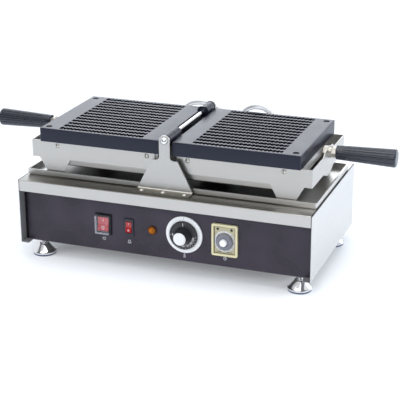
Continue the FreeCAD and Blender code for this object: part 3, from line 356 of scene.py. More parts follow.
@dataclass(frozen=True)
class Pattern:
    """A pattern, with its share of the colour's change and what it adds to the roughness."""

    scale: float
    share: float = 1.0
    rough: float = 0.0
    detail: float = 2.0
    stretch: Point = (1.0, 1.0, 1.0)
    levels: Pair | None = None
    cells: bool = False

    def draw(self, tree: Tree) -> Wire:
        """Draws cells, or smooth noise, which may go from nought to one between two levels.

        Args:
            tree: The tree of the material that has the pattern.

        Returns:
            The pattern's value.
        """
        if self.cells:
            return tree.cells(self.scale)
        value = tree.noise(self.scale, self.detail, tree.place(self.stretch))
        return tree.ramp(value, *self.levels) if self.levels else value


@dataclass(frozen=True)
class Texture:
    """What finishes of one kind share: patterns, the multiples of the tone that they go between, the
    strength and depth by which the first one bends the normal, a shift of the roughness, and how metallic
    they are."""

    patterns: tuple[Pattern, ...]
    contrast: Pair
    bump: Pair | None = None
    rough_shift: float = 0.0
    metal: float = 0.0


def brushed(grain: Grain, contrast: float = 0.1, band_power: float = 0.62) -> Texture:
    """Sheet metal with fine brush lines, broader bands and a faint cloudiness.

    Args:
        grain: The way the lines run.
        contrast: How far the colour changes.
        band_power: The power of the lines' scales that gives the bands'.

    Returns:
        The texture.
    """
    lines = Pattern(1.0, 0.45, 0.1, 3.0, grain.value)
    bands = Pattern(1.0, 0.3, stretch=tuple(scale ** band_power for scale in grain.value))
    cloud = Pattern(14.0, 0.25, 0.06, 3.0)
    return Texture((lines, bands, cloud), (1 - contrast, 1 + contrast), (0.12, 0.00004), -0.07, 1.0)


def plated(haze: float) -> Texture:
    """Chrome or zinc plating: small flecks, and a haze that differs from place to place."""
    patterns = (Pattern(900.0, 0.3, cells=True), Pattern(90.0, 0.7, haze, 3.0))
    return Texture(patterns, (0.9, 1.08), (haze, 0.00003), metal=1.0)


SPECKS = (Pattern(3200.0, 0.5, 0.05), Pattern(60.0, 0.5, 0.04, 3.0))
MOULDED = Texture(SPECKS, (0.88, 1.12), (0.1, 0.00004), -0.04)
RUBBER = Texture(SPECKS, (0.88, 1.12), (0.3, 0.00004), -0.04)
CAST_GRAIN = (Pattern(1500.0, 0.5, 0.08), Pattern(22.0, 0.5, 0.08, 4.0))
COATED = Texture(CAST_GRAIN, (0.8, 1.22), (0.25, 0.00006), -0.08)
SLOW_WAVES = (Pattern(17.0, 0.8, 0.12, 1.0, levels=(0.3, 0.7)), Pattern(2600.0, 0.2, 0.04))
PAINTED = Texture(SLOW_WAVES, (0.5, 1.5), (0.5, 0.004), -0.08)
FACETED = Texture((Pattern(330.0, 1.0, 0.1, cells=True),), (1.25, 0.45), (0.3, 0.0004))
CLOUDED = Texture((Pattern(300.0, 1.0, 0.12, 3.0),), (0.85, 1.12), metal=1.0)
FIBROUS = Texture((Pattern(1.0, 1.0, 0.08, 5.0, (900.0, 140.0, 140.0)),), (0.6, 1.15), (0.6, 0.001))


@dataclass(frozen=True)
class Finish:
    """A tone and a roughness that a texture changes from place to place, under zones of another tone."""

    name: str
    tone: Colour
    texture: Texture
    roughness: float
    ior: float = 1.5
    gloss_tint: Colour = (1.0, 1.0, 1.0)
    coat: float = 0.0
    coat_rough: float = 0.06
    zones: tuple[Zone | Rim, ...] = ()

    def make(self) -> Material:
        """Adds up what the patterns give, then lays the zones over it.

        Returns:
            The material.
        """
        tree = Tree.named(self.name)
        texture = self.texture
        drawn = [(pattern, pattern.draw(tree)) for pattern in texture.patterns]
        first, *rest = [pattern.share * value for pattern, value in drawn]
        colour = tree.spread(sum(rest, first), self.tone, texture.contrast)
        added = [pattern.rough * value for pattern, value in drawn if pattern.rough]
        rough = sum(added, self.roughness + texture.rough_shift)
        metal: Wire | float = texture.metal
        for zone in self.zones:
            mask = zone.mask(tree)
            colour = tree.mix(mask, colour, zone.tone)
            if zone.metal is not None:
                metal = metal - mask * (texture.metal - zone.metal)
            if zone.rough:
                rough = rough + mask * zone.rough
        others = {"Metallic": metal, "IOR": self.ior, "Specular Tint": self.gloss_tint,
                  "Coat Weight": self.coat, "Coat Roughness": self.coat_rough}
        if texture.bump:
            others["Normal"] = tree.bump(drawn[0][1], *texture.bump)
        return tree.finish(colour, rough, others)


@dataclass(frozen=True)
class ClearLens:
    """Tinted clear plastic with moulded ribs inside that scatter the light."""

    name: str
    tone: Colour
    depth_tone: Colour
    rib_pitch: float = 0.0011
    rib_share: float = 0.6
    rib_bump: Pair = (0.08, 0.0001)
    cloud_scale: float = 160.0
    roughness: float = 0.16
    cloud_rough: float = 0.08
    coat: float = 0.6
    coat_rough: float = 0.04

    def make(self) -> Material:
        """Blends ribs, a sine of X brought to nought to one, with clouds.

        Returns:
            The material.
        """
        tree = Tree.named(self.name)
        place = tree.place()
        rib = 0.5 + 0.5 * (tree.part(place, "X") * (FULL_TURN / self.rib_pitch)).sine()
        cloud = tree.noise(self.cloud_scale, vector=place)
        blend = self.rib_share * rib + (1 - self.rib_share) * cloud
        colour = tree.mix(blend, self.depth_tone, self.tone)
        return tree.finish(colour, self.roughness + self.cloud_rough * cloud, {
            "Coat Weight": self.coat, "Coat Roughness": self.coat_rough,
            "Normal": tree.bump(rib, *self.rib_bump)})


@dataclass(frozen=True)
class ClearCover:
    """A clear splash cover: nearly bare in front, with left and lower walls that catch the light."""

    name: str
    centre: Point
    half_size: Pair
    wall: float = 0.003
    tone: Colour = (0.75, 0.77, 0.84)
    contrast: Pair = (0.9, 1.0)
    smear: Pair = (260.0, 3.0)
    least_alpha: float = 0.03
    smear_alpha: float = 0.06
    wall_alpha: float = 0.42
    roughness: float = 0.06
    smear_rough: float = 0.08

    def make(self) -> Material:
        """Adds up what the smears and the two walls hide.

        Returns:
            The material.
        """
        tree = Tree.named(self.name)
        place = tree.place(centre=self.centre)
        left, low = (tree.ramp(0.0 - tree.part(place, axis), half - self.wall, half)
                     for axis, half in zip("XZ", self.half_size))
        smear = tree.noise(*self.smear, place)
        walls = tree.sum("MAXIMUM", left, low)
        alpha = self.least_alpha + self.smear_alpha * smear + self.wall_alpha * walls
        return tree.finish(tree.spread(smear, self.tone, self.contrast),
                           self.roughness + self.smear_rough * smear, {"Alpha": alpha})


@dataclass(frozen=True)
class DialPlastic:
    """A black knob whose cap, in front of a plane, is pale."""

    name: str
    cap_from_y: float
    body_tone: Colour = (0.016, 0.016, 0.019)
    body_contrast: Pair = (0.8, 1.3)
    cap_tone: Colour = (0.78, 0.78, 0.78)
    cap_contrast: Pair = (0.94, 1.05)
    speck_scale: float = 3000.0
    speck_bump: Pair = (0.1, 0.00004)
    cloud_scale: float = 80.0
    roughness: float = 0.3
    speck_rough: float = 0.08

    def make(self) -> Material:
        """Gives a clouded body and a specked cap, each on its side of the plane.

        Returns:
            The material.
        """
        tree = Tree.named(self.name)
        speck = tree.noise(self.speck_scale)
        body = tree.spread(tree.noise(self.cloud_scale), self.body_tone, self.body_contrast)
        cap = tree.spread(speck, self.cap_tone, self.cap_contrast)
        in_front = (0.0 - tree.part(tree.place(), "Y")).above(-self.cap_from_y)
        return tree.finish(tree.mix(in_front, body, cap), self.roughness + self.speck_rough * speck, {
            "Normal": tree.bump(speck, *self.speck_bump)})


@dataclass(frozen=True)
class BraidedSleeve:
    """A pale heat-proof braid: two sets of yarns that cross along the lead."""

    name: str
    tone: Colour = (0.9, 0.895, 0.88)
    shade: Colour = (0.66, 0.66, 0.66)
    yarns_round: float = 12.0
    yarns_along: float = 480.0
    weave_share: float = 0.7
    weave_bump: Pair = (0.5, 0.0002)
    cloud: Pair = (120.0, 3.0)
    roughness: float = 0.5
    cloud_rough: float = 0.15

    def make(self) -> Material:
        """The weave is the mean of two sines that cross, brought to nought to one.

        Returns:
            The material.
        """
        tree = Tree.named(self.name)
        uv = tree.coordinates("UV")
        around = tree.part(uv, "X") * (FULL_TURN * self.yarns_round)
        along = tree.part(uv, "Y") * (FULL_TURN * self.yarns_along)
        weave = 0.5 + 0.25 * ((around + along).sine() + (around - along).sine())
        cloud = tree.noise(*self.cloud)
        blend = self.weave_share * weave + (1 - self.weave_share) * cloud
        colour = tree.mix(blend, self.shade, self.tone)
        return tree.finish(colour, self.roughness + self.cloud_rough * cloud, {
            "Normal": tree.bump(weave, *self.weave_bump)})


class Skin:
    """Collects grids of points and flat outlines, and makes one mesh of them."""

    def __init__(self) -> None:
        """Starts with nothing collected."""
        self.points: list[Array] = []
        self.uvs: list[Array] = []
        self.faces: list[list[int]] = []
        self.coats: list[int] = []
        self.count = 0

    def _keep(self, points: Array, faces: list[list[int]], uv: Array | None = None,
              coats: Array | None = None) -> Skin:
        """Adds points and faces.

        Args:
            points: Rows of points.
            faces: The faces, which number all points collected so far.
            uv: The pattern coordinates of each point.
            coats: Which of the piece's finishes each face wears.

        Returns:
            The skin itself.
        """
        self.points.append(points)
        self.uvs.append(np.zeros((len(points), 2)) if uv is None else uv.reshape(-1, 2))
        self.faces.extend(faces)
        self.coats.extend([0] * len(faces) if coats is None else coats.astype(int).ravel().tolist())
        self.count += len(points)
        return self

    def grid(self, points: Array, uv: Array | None = None, coats: Array | None = None) -> Skin:
        """Adds a surface of four-sided faces between neighbouring points of a grid.

        Args:
            points: Rows and columns of points.
            uv: The pattern coordinates of each point.
            coats: Which of the piece's finishes each face wears.

        Returns:
            The skin itself.
        """
        rows, columns = points.shape[:2]
        row, column = np.meshgrid(np.arange(rows - 1), np.arange(columns - 1), indexing="ij")
        here = (self.count + row * columns + column).ravel()
        quads = np.stack([here, here + 1, here + columns + 1, here + columns], axis=1)
        return self._keep(points.reshape(-1, 3), quads.tolist(), uv, coats)

    def loose(self, points: Array, faces: list[list[int]]) -> Skin:
        """Adds points with faces that number them from nought."""
        return self._keep(points, [[corner + self.count for corner in face] for face in faces])

    def cap(self, ring: Array) -> Skin:
        """Adds one flat face inside a ring of points."""
        return self._keep(ring, [list(range(self.count, self.count + len(ring)))])

    def stroke(self, path: Array, width: float, y: float) -> Skin:
        """Adds a flat band about a path of X and Z, at a depth Y."""
        return self.grid(on_panel(ribbon(path, width), y))

    def piece(self, name: str, *finishes: Material, crease: float = 32.0, shut: bool = True) -> Object:
        """Makes the mesh and its object.

        Args:
            name: The piece's name.
            finishes: Its finishes, numbered by the faces' coats.
            crease: The angle in degrees past which an edge stays sharp.
            shut: Whether the surfaces close, so that their outsides can be found.

        Returns:
            The new object, at the origin.
        """
        mesh = bpy.data.meshes.new(name)
        mesh.from_pydata(np.concatenate(self.points).tolist(), [], self.faces)
        mesh.polygons.foreach_set("material_index", np.array(self.coats, np.int32))
        corners = np.empty(len(mesh.loops), np.int32)
        mesh.loops.foreach_get("vertex_index", corners)
        layer = mesh.uv_layers.new(name="UVMap")
        layer.data.foreach_set("uv", np.concatenate(self.uvs)[corners].astype(np.float32).ravel())
        work = bmesh.new()
        work.from_mesh(mesh)
        bmesh.ops.remove_doubles(work, verts=work.verts, dist=MERGE_DISTANCE)
        if shut:
            bmesh.ops.recalc_face_normals(work, faces=work.faces)
        work.to_mesh(mesh)
        work.free()
        mesh.polygons.foreach_set("use_smooth", np.ones(len(mesh.polygons), bool))
        mesh.set_sharp_from_angle(angle=math.radians(crease))
        for finish in finishes:
            mesh.materials.append(finish)
        made = bpy.data.objects.new(name, mesh)
        bpy.context.scene.collection.objects.link(made)
        return made

    def printed(self, name: str, body: str, ink: Material) -> Object:
        """Makes a flat print with the thickness of ink.

        Args:
            name: The print's name.
            body: The body that it rides on.
            ink: Its finish.

        Returns:
            The print's piece.
        """
        made = self.piece(name, ink, shut=False)
        layer = made.modifiers.new("Ink", "SOLIDIFY")
        layer.thickness = INK_THICKNESS
        layer.offset = 0.0
        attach(made, body)
        return made


def turned(profile: Array, steps: int, axis: Axis, centre: Point, waver: Array | None = None) -> Array:
    """A profile turned about an axis: radius times the cosine and sine of the angle, height along the axis.

    Args:
        profile: Rows of radius and height.
        steps: How many steps make a full turn.
        axis: Where the heights point.
        centre: The place of height zero.
        waver: Factors on the radius, a row for each profile point and a column for each angle.

    Returns:
        A grid of points whose last column repeats the first.
    """
    angle = np.linspace(0.0, FULL_TURN, steps + 1)
    radius = profile[:, :1] * (1.0 if waver is None else waver)
    height = np.broadcast_to(profile[:, 1:], (len(profile), steps + 1))
    local = np.stack([radius * np.cos(angle), radius * np.sin(angle), height], axis=-1)
    return local @ axis.matrix + np.array(centre)


def unit(rows: Array) -> Array:
    """Vectors brought to a length of one."""
    return rows / np.linalg.norm(rows, axis=1, keepdims=True)


def quarter(steps: int) -> Array:
    """Angles from nought to a right angle in equal steps."""
    return np.radians(np.linspace(0.0, 90.0, steps + 1))


def heading(degrees: float) -> Array:
    """The plane direction at an angle, counted from the right and turning up."""
    return np.array((math.cos(math.radians(degrees)), math.sin(math.radians(degrees))))


def ribbon(path: Array, width: float) -> Array:
    """A flat band about a plane path: each point moved half the width to both sides of its direction."""
    run = unit(np.gradient(path, axis=0))
    across = np.stack([-run[:, 1], run[:, 0]], axis=1) * width / 2
    return np.stack([path - across, path + across])


def arc(centre: Pair, radius: float, start: float, end: float, points: int = 40) -> Array:
    """A plane arc between two angles in degrees, counted from the right and turning up."""
    angle = np.radians(np.linspace(start, end, points))
    return np.stack([centre[0] + radius * np.cos(angle), centre[1] + radius * np.sin(angle)], axis=1)


def bar(start: Pair | Array, end: Pair | Array) -> Array:
    """A straight plane path between two points."""
    return np.linspace(start, end, BAR_POINTS)


def tick_path(middle: Array, degrees: float, near: float, far: float) -> Array:
    """A straight plane path away from a middle, between two distances from it."""
    return np.linspace(middle + heading(degrees) * near, middle + heading(degrees) * far, TICK_POINTS)


def on_panel(flat: Array, y: float) -> Array:
    """Plane points of X and Z set at a depth Y."""
    return np.stack([flat[..., 0], np.full(flat.shape[:-1], y), flat[..., 1]], axis=-1)


def in_order(*values: Array) -> Array:
    """All the values in rising order, each one once."""
    return np.unique(np.concatenate(values).round(SAME_DIGITS))


def coats_by_row(grid: Array, second: Array) -> Array:
    """The coats of a grid's faces: the second finish on the rows of faces that are marked for it."""
    return np.repeat(second[:, None], grid.shape[1] - 1, axis=1)


def read_curve(curve: bpy.types.Curve) -> tuple[Array, list[list[int]]]:
    """Makes a curve or a text a mesh, reads it and clears both away.

    Args:
        curve: The curve, which is used up.

    Returns:
        The points, and the faces that number them.
    """
    holder = bpy.data.objects.new(curve.name, curve)
    mesh = bpy.data.meshes.new_from_object(holder)
    points = np.empty(len(mesh.vertices) * 3, np.float32)
    mesh.vertices.foreach_get("co", points)
    faces = [list(polygon.vertices) for polygon in mesh.polygons]
    bpy.data.objects.remove(holder)
    bpy.data.curves.remove(curve)
    bpy.data.meshes.remove(mesh)
    return points.reshape(-1, 3).astype(float), faces


def figures(text: str, size: float) -> tuple[Array, list[list[int]]]:
    """Plain figures as a mesh about their own middle.

    Args:
        text: What to write.
        size: The height of a line.

    Returns:
        The points in X, Y and thickness, and the faces.
    """
    curve = bpy.data.curves.new("figures", "FONT")
    curve.body = text
    curve.size = size
    curve.align_x = "CENTER"
    curve.align_y = "CENTER"
    curve.extrude = INK_THICKNESS / 2
    curve.offset = size * FIGURE_WEIGHT
    return read_curve(curve)


class Wearable(Protocol):
    """A finish of any kind, which has a name and makes its own material."""

    name: str

    def make(self) -> Material:
        """Builds the material."""


class Assembly(Protocol):
    """A sub-assembly that builds its own pieces."""

    def build(self, made: Finishes) -> list[Object]:
        """Makes the pieces with the finishes, and gives them in order."""


@dataclass(frozen=True)
class Lamp:
    """A soft rectangular lamp: its place, its target, its size, its power in watts and its colour."""

    name: str
    place: Point
    target: Point
    size: Pair
    power: float
    tone: Colour
    mirrored: bool = True

    def hang(self) -> None:
        """Makes the lamp, which the camera never sees, nor shiny surfaces unless it is mirrored."""
        data = bpy.data.lights.new(self.name, "AREA")
        data.shape = "RECTANGLE"
        data.size, data.size_y = self.size
        data.energy = self.power
        data.color = self.tone
        holder = bpy.data.objects.new(self.name, data)
        holder.location = self.place
        holder.rotation_mode = "QUATERNION"
        holder.rotation_quaternion = (Vector(self.target) - Vector(self.place)).to_track_quat("-Z", "Y")
        holder.visible_camera = False
        holder.visible_glossy = self.mirrored
        bpy.context.scene.collection.objects.link(holder)


@dataclass
class Studio:
    """The camera at the photograph's viewing angle, a pale floor and soft light."""

    camera_place: Point = (0.6948, -1.7958, 0.8043)
    camera_forward: Point = (-0.32481, 0.88599, -0.33094)
    camera_roll: float = -0.003
    lens: float = 109.73
    lens_shift: Pair = (-0.024, -0.0591)
    sensor: float = 36.0
    floor_half: float = 9.0
    floor_tone: Colour = (0.84, 0.85, 0.86)
    floor_glow: float = 0.15
    floor_mirror_glow: float = 0.2
    floor_far_glow: float = 0.35
    floor_far: Pair = (1.0, 3.5)
    sky_tone: Colour = (0.78, 0.86, 1.0)
    sky_strength: float = 0.64
    seen_tone: Colour = (0.985, 0.99, 1.0)
    front_level: float = 0.22
    front_fade: Pair = (-0.75, 0.0)
    top_fade: Pair = (0.55, 0.95)
    lamps: tuple[Lamp, ...] = (
        Lamp("overhead", (0.0, -0.4, 2.0), (0.0, -0.05, 0.1), (2.0, 1.6), 19.0, WARM_LIGHT),
        Lamp("behind", (-0.75, 2.3, 1.05), (0.0, 0.0, 0.2), (2.0, 0.9), 14.0, COOL_LIGHT),
        Lamp("beside", (1.5, 1.4, 0.7), (0.3, 0.2, 0.0), (1.2, 1.0), 11.0, COOL_LIGHT),
        Lamp("front", (0.2, -2.2, 1.7), (0.0, -0.1, 0.1), (1.6, 1.0), 18.0, WARM_LIGHT),
        Lamp("low_left", (-1.5, -1.3, 0.6), (-0.1, -0.25, 0.0), (1.0, 0.6), 11.0, COOL_LIGHT, False),
        Lamp("low_right", (1.6, 0.2, 0.7), (0.45, 0.05, 0.0), (1.0, 0.6), 12.0, COOL_LIGHT, False),
    )

    def build(self) -> None:
        """Makes the camera, the floor, the world and the lamps."""
        self._camera()
        self._floor()
        self._world()
        for lamp in self.lamps:
            lamp.hang()

    def _camera(self) -> None:
        """Sets the camera by its place and direction."""
        data = bpy.data.cameras.new("camera")
        data.lens = self.lens
        data.sensor_width = self.sensor
        data.shift_x, data.shift_y = self.lens_shift
        holder = bpy.data.objects.new("camera", data)
        holder.location = self.camera_place
        holder.rotation_mode = "QUATERNION"
        level = Vector(self.camera_forward).to_track_quat("-Z", "Y")
        holder.rotation_quaternion = level @ Quaternion((0.0, 0.0, 1.0), self.camera_roll)
        bpy.context.scene.collection.objects.link(holder)
        bpy.context.scene.camera = holder

    @staticmethod
    def _rays(tree: Tree) -> tuple[Wire, Wire]:
        """Tells rays apart.

        Args:
            tree: The tree that asks.

        Returns:
            One for rays from the camera, and one for rays from a mirror or through glass.
        """
        path = tree.add("ShaderNodeLightPath", {}, {})
        mirror = tree.wire(path, "Is Glossy Ray") + tree.wire(path, "Is Transmission Ray")
        return tree.wire(path, "Is Camera Ray"), tree.sum("MINIMUM", mirror, 1.0)

    def _floor(self) -> None:
        """A flat floor, pale and with a slight glow that grows far away, so that it reads as white."""
        side = self.floor_half * BOTH_SIGNS
        flat = np.stack([*np.meshgrid(side, side), np.zeros((2, 2))], axis=-1)
        tree = Tree.named("studio_floor")
        camera, mirror = self._rays(tree)
        matte = tree.read("ShaderNodeBsdfDiffuse", "BSDF", {}, {"Color": self.floor_tone})
        far = tree.ramp(tree.reach(tree.place()), *self.floor_far)
        strength = camera * (self.floor_glow + self.floor_far_glow * far) + mirror * self.floor_mirror_glow
        light = {"Color": self.seen_tone, "Strength": strength}
        glow = tree.read("ShaderNodeEmission", "Emission", {}, light)
        both = tree.read("ShaderNodeAddShader", "Shader", {}, {"Shader": matte, "Shader_001": glow})
        tree.add("ShaderNodeOutputMaterial", {}, {"Surface": both})
        Skin().grid(flat).piece("studio_floor", tree.owner, shut=False)

    def _world(self) -> None:
        """Even light: white to the camera, and to mirrors white behind and above but dimmer in front."""
        world = bpy.data.worlds.new("studio_world")
        bpy.context.scene.world = world
        tree = Tree(world)
        camera, mirror = self._rays(tree)
        way = tree.coordinates("Generated")
        behind = tree.ramp(tree.part(way, "Y"), *self.front_fade)
        above = tree.ramp(tree.part(way, "Z"), *self.top_fade)
        mirrored = self.front_level + (1.0 - self.front_level) * tree.sum("MAXIMUM", behind, above)
        strength = (self.sky_strength + camera * (1.0 - self.sky_strength)
                    + mirror * (mirrored - self.sky_strength))
        tone = tree.mix(camera + mirror, self.sky_tone, self.seen_tone)
        sky = tree.read("ShaderNodeBackground", "Background", {}, {"Color": tone, "Strength": strength})
        tree.add("ShaderNodeOutputWorld", {}, {"Surface": sky})


@dataclass
class HeaterLead:
    """A bundle of three sleeved wires from a bush on the cover to a plate's gland."""

    side: Side
    route: list[Point]
    length: float
    turn_start: Point
    turn_end: Point
    diameter: float = 0.008
    wire_radius: float = 0.0018
    wire_offset: float = 0.0020
    wire_spread: float = 0.0014
    wires: int = 3
    turns: float = 0.35
    steps_round: int = 20
    spline_order: int = 3
    spline_steps: int = 16
    crease: float = 75.0

    def centre_line(self) -> Array:
        """Follows the route with a smooth spline.

        Returns:
            The points along the spline.
        """
        curve = bpy.data.curves.new("route", "CURVE")
        curve.dimensions = "3D"
        curve.resolution_u = self.spline_steps
        spline = curve.splines.new("NURBS")
        spline.points.add(len(self.route) - 1)
        spline.points.foreach_set("co", np.array([(*point, 1.0) for point in self.route]).ravel())
        spline.order_u = self.spline_order
        spline.use_endpoint_u = True
        return read_curve(curve)[0]

    def strands(self, line: Array) -> tuple[list[Array], Array]:
        """Round wires carried along the line, square to it. Each stands off the line by an angle that turns
        slowly along it, and by a distance that swells between the ends.

        Args:
            line: The points of the centre line.

        Returns:
            A grid of points for each wire, and the pattern coordinates that they share.
        """
        ahead = unit(np.gradient(line, axis=0))
        across = unit(np.cross((0.0, 1.0, 0.0), ahead))
        third = np.cross(ahead, across)
        along = np.concatenate([[0.0], np.cumsum(np.linalg.norm(np.diff(line, axis=0), axis=1))])
        share = along / along[-1]
        stand_off = (self.wire_offset + self.wire_spread * np.sin(np.pi * share) ** 2)[:, None]
        angle = np.linspace(0.0, FULL_TURN, self.steps_round + 1)
        uv = np.stack(np.broadcast_arrays(angle[None, :] / FULL_TURN, along[:, None]), axis=-1)
        circle = self.wire_radius * (np.cos(angle)[None, :, None] * across[:, None, :]
                                     + np.sin(angle)[None, :, None] * third[:, None, :])
        made = []
        for wire in range(self.wires):
            lean = (share * self.turns + wire / self.wires)[:, None] * FULL_TURN
            middle = line + stand_off * (np.cos(lean) * across + np.sin(lean) * third)
            made.append(middle[:, None, :] + circle)
        return made, uv

    def build(self, made: Finishes) -> list[Object]:
        """Makes the lead and hangs it between the base and its plate.

        Args:
            made: The finishes by name.

        Returns:
            The lead's piece.
        """
        line = self.centre_line()
        skin = Skin()
        grids, uv = self.strands(line)
        for points in grids:
            skin.grid(points, uv).cap(points[0, :-1]).cap(points[-1, :-1])
        lead = skin.piece(f"{self.side.word}_lead_sleeve", made["lead_sleeve"], crease=self.crease)
        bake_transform(lead)
        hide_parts(f"{self.side.word}_lead")
        return [lead]


LEADS = [
    HeaterLead(
        Side.RIGHT,
        route=[(0.112, 0.121, 0.146), (0.112, 0.121, 0.174), (0.1125, 0.120, 0.210), (0.0935, 0.118, 0.227),
               (0.0685, 0.115, 0.227), (0.0525, 0.112, 0.210), (0.056, 0.112, 0.1845)],
        length=0.157, turn_start=(0.112, 0.121, 0.146), turn_end=(0.056, 0.112, 0.1845),
    ),
    HeaterLead(
        Side.LEFT,
        route=[(0.059, 0.123, 0.146), (0.059, 0.123, 0.168), (0.038, 0.1255, 0.190), (0.008, 0.127, 0.214),
               (-0.016, 0.124, 0.2235), (-0.040, 0.118, 0.2235), (-0.056, 0.112, 0.2075),
               (-0.056, 0.112, 0.1845)],
        length=0.184, turn_start=(0.030, 0.124, 0.200), turn_end=(-0.030, 0.120, 0.220),
    ),
]


@dataclass
class BakingPlate:
    """A cast plate: ridges between long grooves, with a row of small waves along each ridge."""

    side: Side
    inner: float = 0.0110
    outer: float = 0.2213
    half_depth: float = 0.1024
    bottom: float = 0.1985
    top: float = 0.2212
    edge_round: float = 0.0012
    edge_steps: int = 4
    grid_start: float = 0.0425
    grid_end: float = 0.1895
    grid_edge: float = 0.0004
    groove_pitch: float = 0.01505
    grooves_each_way: int = 6
    groove_half: float = 0.0049
    groove_floor_half: float = 0.0013
    groove_depth: float = 0.0034
    waves: int = 22
    wave_steps: int = 8
    wave_depth: float = 0.0005
    wave_sway: float = 0.0013
    wave_margin: float = 0.0030
    wave_skew: float = 0.367
    painted_shade_depth: float = 0.00015
    screw: Pair = PLATE_SCREW
    screw_seat: float = 0.0050
    screw_seat_depth: float = 0.00125
    screw_seat_wall: float = 0.0003
    screw_rows: int = 25
    screw_reach: float = 1.1
    crease: float = 28.0

    def by_screw(self) -> Array:
        """Distances from a screw at which the top has rows of points."""
        return np.linspace(-self.screw_reach, self.screw_reach, self.screw_rows) * self.screw_seat

    def columns(self) -> Array:
        """The X values of the top: its ends, steps along the waves, and rows by the screws.

        Returns:
            The values in order.
        """
        waves = np.linspace(self.grid_start, self.grid_end, self.waves * self.wave_steps + 1)
        ends = np.array([self.grid_start - self.grid_edge, self.grid_end + self.grid_edge])
        edges = np.array([self.inner + self.edge_round, self.outer - self.edge_round])
        return in_order(waves, ends, self.screw[0] + self.by_screw(), edges)

    def rows(self) -> Array:
        """The Y values of the top: its ends, the long grooves' edges and floors, and rows by the screws.

        Returns:
            The values in order.
        """
        middles = np.arange(-self.grooves_each_way, self.grooves_each_way + 1) * self.groove_pitch
        half, floor = self.groove_half, self.groove_floor_half
        shape = np.array([-half, -half + self.grid_edge, -floor - self.grid_edge, -floor])
        grooves = (middles[:, None] + np.concatenate([shape, -shape])[None, :]).ravel()
        margins = BOTH_SIGNS * (middles[-1] + half + self.wave_margin)
        screws = (BOTH_SIGNS[:, None] * self.screw[1] + self.by_screw()[None, :]).ravel()
        edges = BOTH_SIGNS * (self.half_depth - self.edge_round)
        return in_order(grooves, margins, screws, edges)

    def cut(self, x: Array, y: Array) -> Array:
        """The cuts: long grooves with straight flanks and a flat floor inside the grid, and round seats
        with steep walls at the screws.

        Args:
            x: The X values of the points.
            y: Their Y values.

        Returns:
            How deep the top is cut at each point.
        """
        middle = np.clip(np.rint(y / self.groove_pitch), -self.grooves_each_way, self.grooves_each_way)
        from_groove = np.abs(y - middle * self.groove_pitch)
        flank_width = self.groove_half - self.groove_floor_half
        flank = np.clip((self.groove_half - from_groove) / flank_width, 0, 1)
        inside = (x >= self.grid_start) & (x <= self.grid_end)
        from_screw = np.hypot(x - self.screw[0], np.abs(y) - self.screw[1])
        seat = np.clip((self.screw_seat - from_screw) / self.screw_seat_wall, 0, 1)
        return np.maximum(np.where(inside, flank * self.groove_depth, 0.0), seat * self.screw_seat_depth)

    def wave(self, x: Array, y: Array) -> tuple[Array, Array]:
        """The waves along a ridge: its line sways by the sine of the place along it, and its top dips by
        one less the cosine, with crests at a slant over the ridges. Both fade at the grid's edges.

        Args:
            x: The X values of the points.
            y: Their Y values.

        Returns:
            The sideways shift and the dip of each point.
        """
        last_groove = self.grooves_each_way * self.groove_pitch + self.groove_half
        share = np.clip(1 - (np.abs(y) - last_groove) / self.wave_margin, 0, 1)
        from_end = np.minimum(x - self.grid_start, self.grid_end - x)
        share = share * np.clip(from_end / self.wave_margin, 0, 1)
        along = x - self.grid_start + self.side.value * self.wave_skew * y
        phase = along / (self.grid_end - self.grid_start) * self.waves * FULL_TURN
        return share * self.wave_sway * np.sin(phase), share * self.wave_depth / 2 * (1 - np.cos(phase))

    def border(self, x: Array, y: Array) -> tuple[Array, Array]:
        """The top's outline in order round it, with the way out at each point and a fan at each corner.

        Args:
            x: The X values of the top.
            y: The Y values of the top.

        Returns:
            The outline's points and their outward directions, as rows of X and Y.
        """
        runs = [np.stack([x, np.full_like(x, y[0])], 1), np.stack([np.full_like(y, x[-1]), y], 1),
                np.stack([x[::-1], np.full_like(x, y[-1])], 1),
                np.stack([np.full_like(y, x[0]), y[::-1]], 1)]
        points, ways = [], []
        for turn, run in enumerate(runs):
            out = math.radians(90.0 * (turn - 1))
            fan = quarter(self.edge_steps)[1:-1] + out
            angles = np.concatenate([np.full(len(run), out), fan])
            points.append(np.concatenate([run, np.repeat(run[-1:], len(fan), axis=0)]))
            ways.append(np.stack([np.cos(angles), np.sin(angles)], 1))
        return np.concatenate([*points, points[0][:1]]), np.concatenate([*ways, ways[0][:1]])

    def build(self, made: Finishes) -> list[Object]:
        """Makes the plate from its top, its rounded edge, its sides and its flat underside.

        Args:
            made: The finishes by name.

        Returns:
            The plate's piece.
        """
        x, y = self.columns(), self.rows()
        wide, deep = np.meshgrid(x, y, indexing="ij")
        cut = self.cut(wide, deep)
        sway, dip = self.wave(wide, deep)
        top = np.stack([wide, deep + sway, self.top - np.maximum(cut, dip)], axis=-1)
        # Faces cut deeper than this depth wear the darker groove finish: painted shade in the grooves and
        # screw seats.
        inside = (cut[:-1, :-1] + cut[1:, 1:] + cut[:-1, 1:] + cut[1:, :-1]) / 4 > self.painted_shade_depth
        points, ways = self.border(x, y)
        bend = quarter(self.edge_steps)
        out = self.edge_round * np.concatenate([np.sin(bend), [1.0]])
        height = np.concatenate([self.top - self.edge_round * (1 - np.cos(bend)), [self.bottom]])
        flat = points[None, :, :] + out[:, None, None] * ways[None, :, :]
        wall = np.concatenate([flat, np.broadcast_to(height[:, None, None], (*flat.shape[:2], 1))], axis=-1)
        sign = np.array((float(self.side.value), 1.0, 1.0))
        skin = Skin().grid(top * sign, coats=inside).grid(wall * sign).cap(wall[-1, :-1] * sign)
        plate = skin.piece(f"{self.side.word}_waffle_plate", made["plate_coating"], made["groove_painted_shade"],
                           crease=self.crease)
        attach(plate, self.side.body)
        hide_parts(f"{self.side.word}_baking_plate")
        return [plate]


